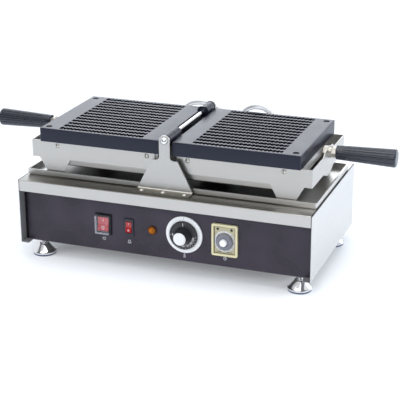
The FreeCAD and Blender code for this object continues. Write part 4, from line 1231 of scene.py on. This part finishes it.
@dataclass
class HandleGrip:
    """A moulded grip that swells to its end, with narrow flutes along it."""

    side: Side
    root_x: float = 0.2515
    length: float = 0.0970
    height: float = 0.1995
    root_radius: float = 0.0115
    root_face: float = 0.9
    root_round: float = 0.0008
    end_radius: float = 0.0148
    end_round: float = 0.0035
    end_steps: int = 6
    swell_points: int = 16
    flutes: int = 18
    flute_depth: float = 0.0007
    flute_sharpness: float = 0.3
    flute_start: float = 0.0070
    flute_fade: float = 0.0040
    flute_least_radius: float = 0.001
    steps_each: int = 10
    crease: float = 50.0

    def profile(self) -> Array:
        """The grip's outline: a plain collar, a straight swell and a rounded edge to a flat end.

        Returns:
            Rows of radius and distance from the root.
        """
        bend = quarter(self.end_steps)[1:]
        straight = self.length - self.end_round
        collar = np.array([[0.0, 0.0], [self.root_face, 0.0], [1.0, self.root_round]])
        collar = collar * (self.root_radius, 1.0)
        along = np.linspace(self.flute_fade, straight, self.swell_points)
        swell = self.root_radius + (self.end_radius - self.root_radius) * along / self.length
        rounding = np.stack([swell[-1] - self.end_round * (1 - np.cos(bend)),
                             straight + self.end_round * np.sin(bend)], 1)
        return np.concatenate([collar, np.stack([swell, along], 1), rounding, [[0.0, self.length]]])

    def build(self, made: Finishes) -> list[Object]:
        """Makes the grip: the radius dips by a bell curve at each flute, away from the collar and the end.

        Args:
            made: The finishes by name.

        Returns:
            The grip's piece.
        """
        profile = self.profile()
        steps = self.flutes * self.steps_each
        angle = np.linspace(0.0, FULL_TURN, steps + 1)
        dip = np.exp(-((np.sin(angle * self.flutes / 2) / self.flute_sharpness) ** 2))
        after_root = np.clip((profile[:, 1] - self.flute_start) / self.flute_fade, 0, 1)
        before_end = np.clip((self.length - profile[:, 1]) / self.flute_fade, 0, 1)
        share = (after_root * before_end)[:, None] * dip[None, :]
        waver = 1 - share * self.flute_depth / np.maximum(profile[:, :1], self.flute_least_radius)
        axis = Axis.RIGHT if self.side is Side.RIGHT else Axis.LEFT
        grid = turned(profile, steps, axis, (self.side.value * self.root_x, 0.0, self.height), waver)
        flat_end = np.arange(len(profile) - 1) == len(profile) - 2
        skin = Skin().grid(grid, coats=coats_by_row(grid, flat_end))
        grip = skin.piece(f"{self.side.word}_fluted_grip", made["handle_black"], made["grip_disc"],
                          crease=self.crease)
        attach(grip, self.side.body)
        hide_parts(f"{self.side.word}_handle_grip")
        return [grip]


@dataclass
class LevellingFoot:
    """A bell-shaped chrome cup on a threaded stud."""

    name: str
    x: float
    y: float
    brim: float = 0.0200
    brim_inside: float = 0.0175
    brim_low: float = 0.0030
    brim_high: float = 0.0058
    brim_round: float = 0.0008
    brim_turn: float = 80.0
    brim_points: int = 6
    cone_steps: int = 11
    cone_hollow: float = 0.94
    top: float = 0.0185
    top_radius: float = 0.0080
    top_bevel: Pair = (0.0005, 0.0002)
    neck_radius: float = 0.0045
    steps_round: int = 56
    stud_radius: float = 0.0050
    stud_low: float = 0.0175
    stud_top: float = 0.0500
    thread_pitch: float = 0.0015
    thread_depth: float = 0.0005
    thread_steps: int = 8
    thread_steps_round: int = 32
    crease: float = 40.0

    def cup(self) -> Array:
        """The cup's outline: a rolled brim, a cone that hollows slightly and a flat top.

        Returns:
            Rows of radius and height.
        """
        middle = self.brim - self.brim_round
        low, high = (np.radians(np.linspace(start, start + self.brim_turn, self.brim_points))
                     for start in (-90.0, 0.0))
        lower = np.stack([middle + self.brim_round * np.cos(low),
                          self.brim_low + self.brim_round * (1 + np.sin(low))], 1)
        upper = np.stack([middle + self.brim_round * np.cos(high),
                          self.brim_high + self.brim_round * (np.sin(high) - 1)], 1)
        share = np.linspace(0.0, 1.0, self.cone_steps + 1)[1:]
        cone = np.stack([middle + (self.top_radius - middle) * share ** self.cone_hollow,
                         self.brim_high + (self.top - self.brim_high) * share], 1)
        inset, rise = self.top_bevel
        inner = [[0.0, self.brim_low], [self.brim_inside, self.brim_low]]
        ends = [[self.top_radius - inset, self.top + rise], [self.neck_radius, self.top + rise]]
        return np.concatenate([inner, lower, upper, cone, ends])

    def thread(self) -> Array:
        """The stud: its radius follows a triangle wave of the height less the turned angle.

        Returns:
            A grid of points.
        """
        angle = np.linspace(0.0, FULL_TURN, self.thread_steps_round + 1)
        height = np.arange(self.stud_low, self.stud_top, self.thread_pitch / self.thread_steps)
        phase = height[:, None] / self.thread_pitch - angle[None, :] / FULL_TURN
        wave = 2 * np.abs(phase - np.floor(phase + 0.5))
        radius = self.stud_radius - self.thread_depth * wave
        tall = np.broadcast_to(height[:, None], radius.shape)
        return np.stack([self.x + radius * np.cos(angle), self.y + radius * np.sin(angle), tall], axis=-1)

    def build(self, made: Finishes) -> list[Object]:
        """Makes the foot.

        Args:
            made: The finishes by name.

        Returns:
            The foot's piece.
        """
        thread = self.thread()
        skin = Skin().grid(turned(self.cup(), self.steps_round, Axis.UP, (self.x, self.y, 0.0)))
        skin.grid(thread).cap(thread[-1, :-1])
        foot = skin.piece(f"bell_foot_{self.name}", made["chrome"], crease=self.crease)
        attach(foot, f"foot_{self.name}")
        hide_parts(f"foot_cup_{self.name}")
        return [foot]


@dataclass
class HingeShaft:
    """The polished shaft, turned down between the lugs, with a dark shoulder and washer at the rear."""

    height: float = 0.2233
    half_length: float = 0.1045
    radius: float = 0.00598
    neck_radius: float = 0.0034
    neck: Pair = (-0.0525, 0.0665)
    shoulder: float = 0.0010
    washer: Pair = (0.0672, 0.0694)
    washer_radius: float = 0.0104
    washer_flat: float = 0.0090
    washer_edge: float = 0.0004
    steps: int = 64

    def build(self, made: Finishes) -> list[Object]:
        """Makes the shaft by turning its outline about its own line, with a flat on top of the washer.

        Args:
            made: The finishes by name.

        Returns:
            The shaft's piece.
        """
        front, rear = self.neck
        near, far = self.washer
        edge, outer = self.washer_edge, self.washer_radius
        outline = np.array([
            [0.0, -self.half_length], [self.radius, -self.half_length], [self.radius, front],
            [self.neck_radius, front + self.shoulder], [self.neck_radius, rear - self.shoulder],
            [self.radius, rear], [self.radius, near], [outer - edge, near], [outer, near + edge],
            [outer, far - edge], [outer - edge, far], [self.radius, far], [self.radius, self.half_length],
            [0.0, self.half_length],
        ])
        grid = turned(outline * (1.0, -1.0), self.steps, Axis.FRONT, (0.0, 0.0, self.height))
        grid[..., 2] = np.minimum(grid[..., 2], self.height + self.washer_flat)
        middle = (outline[:-1, 1] + outline[1:, 1]) / 2
        dark = coats_by_row(grid, (middle > rear - self.shoulder) & (middle <= far))
        shaft = Skin().grid(grid, coats=dark).piece("necked_shaft", made["chrome"], made["plate_coating"])
        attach(shaft, "base")
        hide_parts("hinge_shaft")
        return [shaft]


@dataclass
class ScrewSockets:
    """Painted shade of the drive recesses of one plate's screws: dark hexagons on top and crosses on the
    long walls.
    """

    side: Side
    top: float = 0.2200
    screw: Pair = PLATE_SCREW
    hexagon: float = 0.0023
    wall_y: float = 0.0992
    wall_z: float = 0.1914
    wall_xs: Pair = (0.0350, 0.1935)
    cross: Pair = (0.0022, 0.0005)

    def build(self, made: Finishes) -> list[Object]:
        """Makes the recesses' shade as thin dark inlays.

        Args:
            made: The finishes by name.

        Returns:
            The piece that holds them all.
        """
        skin = Skin()
        sign = self.side.value
        corner = np.radians(np.arange(0.0, 360.0, 60.0))
        hexagon = np.stack([np.cos(corner), np.sin(corner), np.zeros_like(corner)], 1) * self.hexagon
        for front in (-1, 1):
            skin.cap(hexagon + (sign * self.screw[0], front * self.screw[1], self.top + INK_LIFT))
        bars = (self.cross, self.cross[::-1])
        square = np.array([(-1, 0, -1), (1, 0, -1), (1, 0, 1), (-1, 0, 1)]) / 2
        for x in self.wall_xs:
            for front in (-1, 1):
                for wide, tall in bars:
                    loop = (square * (wide, 0.0, tall))[::-front]
                    skin.cap(loop + (sign * x, front * (self.wall_y + INK_LIFT), self.wall_z))
        return [skin.printed(f"{self.side.word}_screw_sockets", self.side.body, made["dark_ink_and_recess_shade"])]


@dataclass
class Pictograms:
    """Small plain signs below the controls."""

    panel_y: float = -0.1160
    heights: tuple[float, ...] = (0.0480, 0.0480, 0.0370, 0.0418)

    @staticmethod
    def signs() -> list[list[Array]]:
        """Plain signs for on and off, a bell, a thermometer and a clock.

        Returns:
            The strokes of each sign, in millimetres about its middle.
        """
        on_off = [arc((0.0, 0.0), 2.4, 120.0, 420.0), bar((0.0, 0.2), (0.0, 3.2))]
        dome = np.concatenate([bar((-2.8, -1.6), (-1.9, -0.6)), arc((0.0, 0.9), 1.9, 180.0, 0.0, 16),
                               bar((1.9, -0.6), (2.8, -1.6))])
        bell = [dome, bar((-3.0, -1.8), (3.0, -1.8)), bar((-0.7, -2.7), (0.7, -2.7))]
        thermometer = [arc((0.0, -1.6), 1.3, 130.0, 410.0), bar((-0.8, -0.6), (-0.8, 2.6)),
                       bar((0.8, -0.6), (0.8, 2.6)), arc((0.0, 2.6), 0.8, 0.0, 180.0, 12)]
        clock = [arc((0.0, 0.0), 2.4, 0.0, 360.0), bar((0.0, 0.0), (0.0, 1.6)),
                 bar((0.0, 0.0), (1.2, -0.6))]
        return [on_off, bell, thermometer, clock]

    def build(self, made: Finishes) -> list[Object]:
        """Prints the signs.

        Args:
            made: The finishes by name.

        Returns:
            The piece that holds them all.
        """
        skin = Skin()
        for x, z, strokes in zip(CONTROL_X.values(), self.heights, self.signs()):
            for path in strokes:
                skin.stroke((x, z) + MILLIMETRE * path, STROKE_WIDTH, self.panel_y - INK_LIFT)
        return [skin.printed("panel_pictograms", "base", made["white_ink"])]


@dataclass
class ThermostatDial:
    """The prints on the dial's skirt and on the pale ring behind it."""

    face_y: float = -0.1225
    numbers: tuple[tuple[str, float], ...] = (
        ("0", 180.0), ("50", -118.0), ("100", -92.0), ("150", -66.0), ("200", -40.0), ("250", -14.0))
    number_size: float = 0.0047
    number_reach: float = 0.0176
    ticks: tuple[int, ...] = (*range(-118, 0, 13), 90, 180)
    tick_reach: Pair = (0.0205, 0.0220)
    start: int = 90
    start_reach: float = 0.0150
    bezel_y: float = -0.1180
    index_reach: Pair = (0.0269, 0.0295)

    def number(self, text: str, degrees: float, middle: Array) -> tuple[Array, list[list[int]]]:
        """A number on the skirt, upright at the left and with its top to the dial's middle below it.

        Args:
            text: The number.
            degrees: Where it stands on the skirt.
            middle: The dial's middle in X and Z.

        Returns:
            Its points and its faces.
        """
        points, faces = figures(text, self.number_size)
        across = heading(degrees + 90.0 if degrees < 0 else 0.0)
        up = np.array((-across[1], across[0]))
        flat = middle + heading(degrees) * self.number_reach + points[:, :1] * across + points[:, 1:2] * up
        return np.stack([flat[:, 0], self.face_y - INK_LIFT - points[:, 2], flat[:, 1]], axis=1), faces

    def build(self, made: Finishes) -> list[Object]:
        """Prints the numbers, the ticks, with a longer one for the start, and the index behind the dial.

        Args:
            made: The finishes by name.

        Returns:
            The numbers, the ticks and the index.
        """
        middle = np.array((CONTROL_X["dial"], CONTROL_Z))
        skin = Skin()
        for text, degrees in self.numbers:
            skin.loose(*self.number(text, degrees, middle))
        numbers = skin.piece("dial_numbers", made["white_ink"], shut=False)
        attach(numbers, "thermostat_knob")
        ticks = Skin()
        near, far = self.tick_reach
        for degrees in self.ticks:
            inner = self.start_reach if degrees == self.start else near
            tick = tick_path(middle, degrees, inner, far)
            ticks.stroke(tick, STROKE_WIDTH, self.face_y - INK_LIFT)
        above = tick_path(middle, self.start, *self.index_reach)
        index = Skin().stroke(above, STROKE_WIDTH, self.bezel_y - INK_LIFT)
        return [numbers, ticks.printed("dial_ticks", "thermostat_knob", made["white_ink"]),
                index.printed("dial_index", "base", made["dark_ink_and_recess_shade"])]


@dataclass
class KitchenTimer:
    """The prints on the timer's face, its turning ring and its cap."""

    z: float = 0.0715
    face_y: float = -0.1180
    scale_radius: float = 0.0160
    scale_width: float = 0.0036
    scale_points: int = 73
    ticks: tuple[int, ...] = tuple(range(-225, 46, 27))
    tick_reach: Pair = (0.0149, 0.0168)
    tick_width: float = 0.0004
    tick_lift: float = 3 * INK_LIFT
    dot_place: Pair = (0.0115, 0.0205)
    dot_radius: float = 0.0022
    dot_points: int = 25
    lines: tuple[Pair, ...] = ((-0.0135, -0.0055), (0.0035, 0.0135))
    line_drop: float = 0.0178
    line_width: float = 0.0009
    outline_half: Pair = (0.0172, 0.0222)
    outline_width: float = 0.0011
    ring_gap: float = 0.0005
    ring_height: float = 0.0050
    ring_steps: int = 144
    ring_crease: float = 35.0
    ribs: int = 18
    rib_depth: float = 0.045
    cap_radius: float = 0.0059
    cap_edge: float = 0.0015
    cap_edge_steps: int = 5
    cap_rise: float = 0.0040
    cap_crown: float = 0.0002
    cap_steps: int = 48
    cap_crease: float = 40.0

    @property
    def back(self) -> float:
        """How far in front of the origin the ring's back lies."""
        return self.ring_gap - self.face_y

    @property
    def axle(self) -> Point:
        """The place on the ring's axis from which heights are counted."""
        return (CONTROL_X["timer"], 0.0, self.z)

    def marks(self, centre: Array) -> Skin:
        """The ticks on the scale, two dots above it and two lines below it.

        Args:
            centre: The scale's middle in X and Z.

        Returns:
            The skin that holds them.
        """
        skin = Skin()
        ink_y = self.face_y - INK_LIFT
        for degrees in self.ticks:
            tick = tick_path(centre, degrees, *self.tick_reach)
            skin.stroke(tick, self.tick_width, self.face_y - self.tick_lift)
        for sign in BOTH_SIGNS:
            middle = centre + np.array((sign, 1.0)) * self.dot_place
            dot = arc(middle, self.dot_radius / 2, 0.0, 360.0, self.dot_points)
            skin.stroke(dot, self.dot_radius, ink_y)
        for low, high in self.lines:
            line = bar(centre + (low, -self.line_drop), centre + (high, -self.line_drop))
            skin.stroke(line, self.line_width, ink_y)
        return skin

    def outline(self) -> Skin:
        """A line round the timer's face.

        Returns:
            The skin that holds it.
        """
        half_x, half_z = self.outline_half
        wide, tall = half_x + self.outline_width / 2, half_z - self.outline_width
        centre = np.array((CONTROL_X["timer"], CONTROL_Z))
        skin = Skin()
        for sign in BOTH_SIGNS:
            across = bar(centre + (-wide, sign * half_z), centre + (wide, sign * half_z))
            up = bar(centre + (sign * half_x, -tall), centre + (sign * half_x, tall))
            for path in (across, up):
                skin.stroke(path, self.outline_width, self.face_y - INK_LIFT)
        return skin

    def ring(self) -> Array:
        """The turning ring: a turned profile whose radius wavers by a cosine for its finger ribs.

        Returns:
            A grid of points.
        """
        # Radius and height in millimetres, and how much of the ribs' depth that row has.
        rows = np.array([
            [3.0, 0.0, 0.0], [14.0, 0.0, 1.0], [14.0, 3.4, 1.0], [12.8, 4.7, 1.0], [12.0, 5.0, 0.4],
            [8.2, 5.0, 0.0], [7.6, 4.2, 0.0], [3.0, 4.2, 0.0], [3.0, 0.0, 0.0],
        ])
        profile = rows[:, :2] * MILLIMETRE + (0.0, self.back)
        angle = np.linspace(0.0, FULL_TURN, self.ring_steps + 1)
        rib = 0.5 + 0.5 * np.cos(angle * self.ribs)
        waver = 1 - self.rib_depth * rows[:, 2:] * rib[None, :]
        return turned(profile, self.ring_steps, Axis.FRONT, self.axle, waver)

    def cap(self) -> Array:
        """The raised cap: a turned post with a rounded edge and a slight crown.

        Returns:
            A grid of points.
        """
        bend = quarter(self.cap_edge_steps)
        radius, edge = self.cap_radius, self.cap_edge
        rise = self.back + self.ring_height + self.cap_rise
        post = [[0.0, self.back], [radius, self.back]]
        rounded = np.stack([radius - edge * (1 - np.cos(bend)), rise - edge * (1 - np.sin(bend))], 1)
        profile = np.concatenate([post, rounded, [[0.0, rise + self.cap_crown]]])
        return turned(profile, self.cap_steps, Axis.FRONT, self.axle)

    def build(self, made: Finishes) -> list[Object]:
        """Makes the pale scale, the dark marks, the line round the face, the ring and the cap.

        Args:
            made: The finishes by name.

        Returns:
            The pieces in that order.
        """
        centre = np.array((CONTROL_X["timer"], self.z))
        circle = arc(centre, self.scale_radius, 0.0, 360.0, self.scale_points)
        scale = Skin().stroke(circle, self.scale_width, self.face_y - INK_LIFT)
        prints = [scale.printed("timer_scale", "base", made["white_ink"]),
                  self.marks(centre).printed("timer_marks", "base", made["dark_ink_and_recess_shade"]),
                  self.outline().printed("timer_outline", "base", made["brown_ink"])]
        ring = Skin().grid(self.ring())
        knob = ring.piece("timer_ribbed_ring", made["timer_ring"], crease=self.ring_crease)
        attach(knob, "timer_knob")
        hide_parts("timer_knob")
        cap = Skin().grid(self.cap()).piece("timer_cap", made["white_plastic"], crease=self.cap_crease)
        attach(cap, "timer_knob")
        return [*prints, knob, cap]


@dataclass
class Rocker:
    """The marks on a rocker: a bar and a ring, for on and off."""

    name: str
    half_height: float
    mark_size: float
    mark_place: float = 0.52
    pivot_y: float = -0.1150
    rise: float = 0.0050
    dish: float = 0.0016
    tilt: float = -7.0

    def build(self, made: Finishes) -> list[Object]:
        """Prints the marks, which follow the dish, deepest in its middle, and lean about the pivot.

        Args:
            made: The finishes by name.

        Returns:
            The piece that holds both.
        """
        skin = Skin()
        lean = math.radians(self.tilt)
        place, half = self.mark_place * self.half_height, self.mark_size / 2
        upper = bar((0.0, place - half), (0.0, place + half))
        lower = arc((0.0, -place), half, 0.0, 360.0)
        for path in (upper, lower):
            flat = ribbon(path, STROKE_WIDTH)
            high = flat[..., 1]
            depth = -self.rise + self.dish * (1 - np.abs(high) / self.half_height) - INK_LIFT
            y = self.pivot_y + depth * math.cos(lean) - high * math.sin(lean)
            z = CONTROL_Z + depth * math.sin(lean) + high * math.cos(lean)
            skin.grid(np.stack([CONTROL_X[self.name] + flat[..., 0], y, z], axis=-1))
        return [skin.printed(f"{self.name}_rocker_marks", f"{self.name}_rocker", made["white_ink"])]


ROCKERS = [
    Rocker("power", half_height=0.0123, mark_size=0.0042),
    Rocker("alarm", half_height=0.00985, mark_size=0.0026),
]


class Wardrobe:
    """Every finish, and which CAD nodes wear it."""

    BASE_NODES = {
        "cover_steel": "top_cover rear_panel",
        "side_steel": "side_panel_left side_panel_right",
        "mill_steel": "bottom_plate",
        "panel_black": "front_panel",
        "tray_steel": "drip_tray",
        "bracket_steel": "hinge_bracket_front hinge_bracket_rear",
        "zinc": "bracket_rivets base_screws",
        "chrome": "hinge_shaft shaft_end_bolts",
        "grey_rubber": "lead_bushes",
        "lead_sleeve": "left_lead right_lead",
        "black_plastic": "cord_gland buzzer pilot_lamp_body thermostat_body",
        "cream_plastic": "terminal_block timer_frame",
        "black_gloss": "power_switch_housing",
        "clear_cover": "power_switch_cover",
        "alarm_bezel": "alarm_switch_housing",
        "amber_lens": "pilot_lamp_lens",
        "bezel_satin": "thermostat_bezel",
        "timer_face": "timer_body",
        "dial_plastic": "thermostat_knob",
        "timer_ring": "timer_knob",
        "red_lens": "power_rocker",
        "alarm_lens": "alarm_rocker",
    }
    PLATE_NODES = {
        "plate_coating": "hinge_lugs baking_plate",
        "frame_steel": "plate_frame",
        "fastener_metal": "frame_fasteners",
        "tub_steel": "heater_cover",
        "mill_steel": "heating_element",
        "insulation_wool": "insulation",
        "zinc": "handle_stud",
        "handle_black": "handle_grip",
        "gland_metal": "lead_gland",
    }
    FOOT_NODES = {"chrome": "foot_cup", "foot_pad": "foot_pad"}

    @staticmethod
    def finishes() -> list[Wearable]:
        """Lists the finishes.

        Returns:
            The finishes, not yet made.
        """
        black, ink = (0.014, 0.014, 0.017), (0.006, 0.006, 0.008)
        shade, painted_olive_reflection, painted_flange_reflection = (0.012, 0.012, 0.012), (0.2, 0.195, 0.175), (0.2, 0.185, 0.14)
        inner_face_painted_light, gap_shadow_black = (0.22, 0.22, 0.225), (0.001, 0.001, 0.001)
        blue_gloss, pale_blue_gloss, violet_gloss = (0.75, 0.81, 1.0), (0.86, 0.91, 1.0), (0.95, 0.9, 1.0)
        along_x, fine_x, faint_x = (brushed(Grain.ALONG_X, contrast) for contrast in (0.1, 0.07, 0.06))
        chrome, zinc, disc = (plated(haze) for haze in (0.06, 0.14, 0.1))
        # Painted reflection and painted shade on the cover: its top is darker and olive where it mirrors
        # the dark parts above, and a dark line at its ends stands in for the shade in the seams by the side
        # panels.
        cover = (Zone("Z", 0.1372, True, painted_olive_reflection, 0.7, (0.185, 0.245)), Zone("X", 0.2479, True, shade, 0.9))
        # Painted light on the side panels' inner faces: a lighter, nearly matte grey in place of the bare
        # steel, which would mirror the dark front panel.
        side = (Zone("X", 0.2493, False, inner_face_painted_light, metal=0.1),)
        # Painted shade on the drip tray: its floor and the foot of its walls are darker under the plates,
        # fading out towards its ends.
        tray = (Zone("Z", 0.1399, False, shade, 0.75, (0.17, 0.235)),)
        # Painted shade on the heater covers: darker on their lower part and underside.
        tub = (Zone("Z", 0.1600, False, shade, 0.93),)
        # Painted reflection on the hinge brackets: their low foot flanges are darker and brown.
        bracket = (Zone("Z", 0.1415, False, painted_flange_reflection, 0.7),)
        # Painted shadow on the front panel: black at its ends, standing in for the shadow in the gaps by
        # the side panels.
        ends = (Zone("X", 0.2440, True, gap_shadow_black),)
        black_heads = (Zone("Z", 0.2, True, ink, metal=0.0, rough=0.4),)
        # Painted shade on the amber lens: darker towards its rim, as though lit in the middle.
        lens_rim_shade = (Rim((PILOT_X, 0.0, CONTROL_Z), PILOT_RADIUS, (0.05, 0.012, 0.001)),)
        return [
            # The stainless parts are one steel. The ways their brush lines run are real; their differing
            # tones are painted light and shade, each part's tone set by how light falls on it.
            Finish("cover_steel", (0.515, 0.507, 0.49), along_x, 0.34, zones=cover),
            Finish("side_steel", (0.61, 0.61, 0.612), brushed(Grain.ALONG_Y), 0.4, zones=side),
            Finish("tray_steel", (0.54, 0.535, 0.52), along_x, 0.32, zones=tray),
            Finish("tub_steel", (0.58, 0.572, 0.555), fine_x, 0.38, zones=tub),
            Finish("bracket_steel", (0.485, 0.479, 0.467), faint_x, 0.36, zones=bracket),
            Finish("frame_steel", (0.485, 0.477, 0.459), fine_x, 0.36),
            # Painted shade: this steel is kept dark so that the chrome feet mirror the base's underside
            # dark.
            Finish("mill_steel", (0.16, 0.155, 0.15), along_x, 0.45),
            Finish("panel_black", (0.026, 0.0212, 0.031), PAINTED, 0.3, 1.43, violet_gloss, zones=ends),
            Finish("plate_coating", (0.007, 0.0072, 0.015), COATED, 0.36, 1.48, blue_gloss),
            # Painted shade in the plates' grooves and screw seats: the same coating, darker and duller.
            Finish("groove_painted_shade", (0.003, 0.003, 0.005), COATED, 0.8, 1.15, blue_gloss),
            Finish("chrome", (0.76, 0.77, 0.79), chrome, 0.08),
            Finish("zinc", (0.44, 0.43, 0.4), zinc, 0.3),
            Finish("gland_metal", (0.55, 0.54, 0.5), zinc, 0.3),
            Finish("grip_disc", (0.125, 0.13, 0.145), disc, 0.3),
            Finish("fastener_metal", (0.62, 0.61, 0.58), CLOUDED, 0.22, 1.15, zones=black_heads),
            Finish("black_plastic", black, MOULDED, 0.42),
            Finish("black_gloss", ink, MOULDED, 0.3, 1.3),
            Finish("alarm_bezel", (0.028, 0.025, 0.036), MOULDED, 0.35, 1.4),
            Finish("handle_black", (0.008, 0.009, 0.016), MOULDED, 0.26, 1.65, pale_blue_gloss),
            Finish("cream_plastic", (0.7, 0.64, 0.4), MOULDED, 0.38, coat=0.1),
            Finish("timer_face", (0.45, 0.41, 0.27), MOULDED, 0.42, coat=0.1),
            Finish("timer_ring", (0.16, 0.165, 0.195), MOULDED, 0.2, coat=0.6),
            Finish("white_plastic", (0.86, 0.86, 0.86), MOULDED, 0.3, coat=0.2),
            Finish("bezel_satin", (0.84, 0.84, 0.84), MOULDED, 0.32, coat=0.2),
            Finish("grey_rubber", (0.1, 0.1, 0.1), RUBBER, 0.7),
            Finish("foot_pad", (0.1, 0.12, 0.18), RUBBER, 0.6),
            Finish("white_ink", (0.72, 0.72, 0.72), MOULDED, 0.5),
            # Dark print on the timer and dial, and painted shade in the plates' screw recesses.
            Finish("dark_ink_and_recess_shade", (0.02, 0.02, 0.02), MOULDED, 0.55),
            Finish("brown_ink", (0.13, 0.105, 0.055), MOULDED, 0.55),
            Finish("amber_lens", (0.43, 0.128, 0.003), FACETED, 0.2, 1.25, zones=lens_rim_shade),
            Finish("insulation_wool", (0.7, 0.66, 0.56), FIBROUS, 0.9),
            ClearCover("clear_cover", (CONTROL_X["power"], 0.0, CONTROL_Z), SPLASH_COVER_HALF),
            ClearLens("red_lens", (0.56, 0.018, 0.026), (0.32, 0.005, 0.008)),
            ClearLens("alarm_lens", (0.44, 0.01, 0.015), (0.25, 0.003, 0.005)),
            DialPlastic("dial_plastic", DIAL_CAP_Y),
            BraidedSleeve("lead_sleeve"),
        ]

    def dress(self, nodes: dict[str, Object]) -> Finishes:
        """Makes the finishes and puts them on the CAD nodes.

        Args:
            nodes: The frame's objects by name.

        Returns:
            The finishes by name.
        """
        made = {finish.name: finish.make() for finish in self.finishes()}
        groups = [(self.BASE_NODES, "{}")]
        groups += [(self.PLATE_NODES, f"{side.word}_{{}}") for side in Side]
        groups += [(self.FOOT_NODES, f"{{}}_{corner}") for corner in FOOT_CORNERS]
        for worn, pattern in groups:
            for finish, pieces in worn.items():
                for piece in pieces.split():
                    mesh = nodes[pattern.format(piece)].data
                    mesh.materials.clear()
                    mesh.materials.append(made[finish])
        return made


def main() -> None:
    """Builds the studio, dresses the CAD nodes, then builds each sub-assembly and reports its pieces."""
    logging.basicConfig(level=logging.INFO)
    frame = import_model()
    bpy.context.scene.view_settings.view_transform = "Standard"
    Studio().build()
    made = Wardrobe().dress(frame["nodes"])
    assemblies: list[Assembly] = [*LEADS]
    for side in Side:
        assemblies += [BakingPlate(side), HandleGrip(side), ScrewSockets(side)]
    assemblies.append(HingeShaft())
    assemblies += [LevellingFoot(corner, *place) for corner, place in FOOT_CORNERS.items()]
    assemblies += [Pictograms(), ThermostatDial(), KitchenTimer(), *ROCKERS]
    for assembly in assemblies:
        for piece in assembly.build(made):
            LOG.info("%s: %s", type(assembly).__name__, piece.name)


if __name__ == "__main__":
    main()
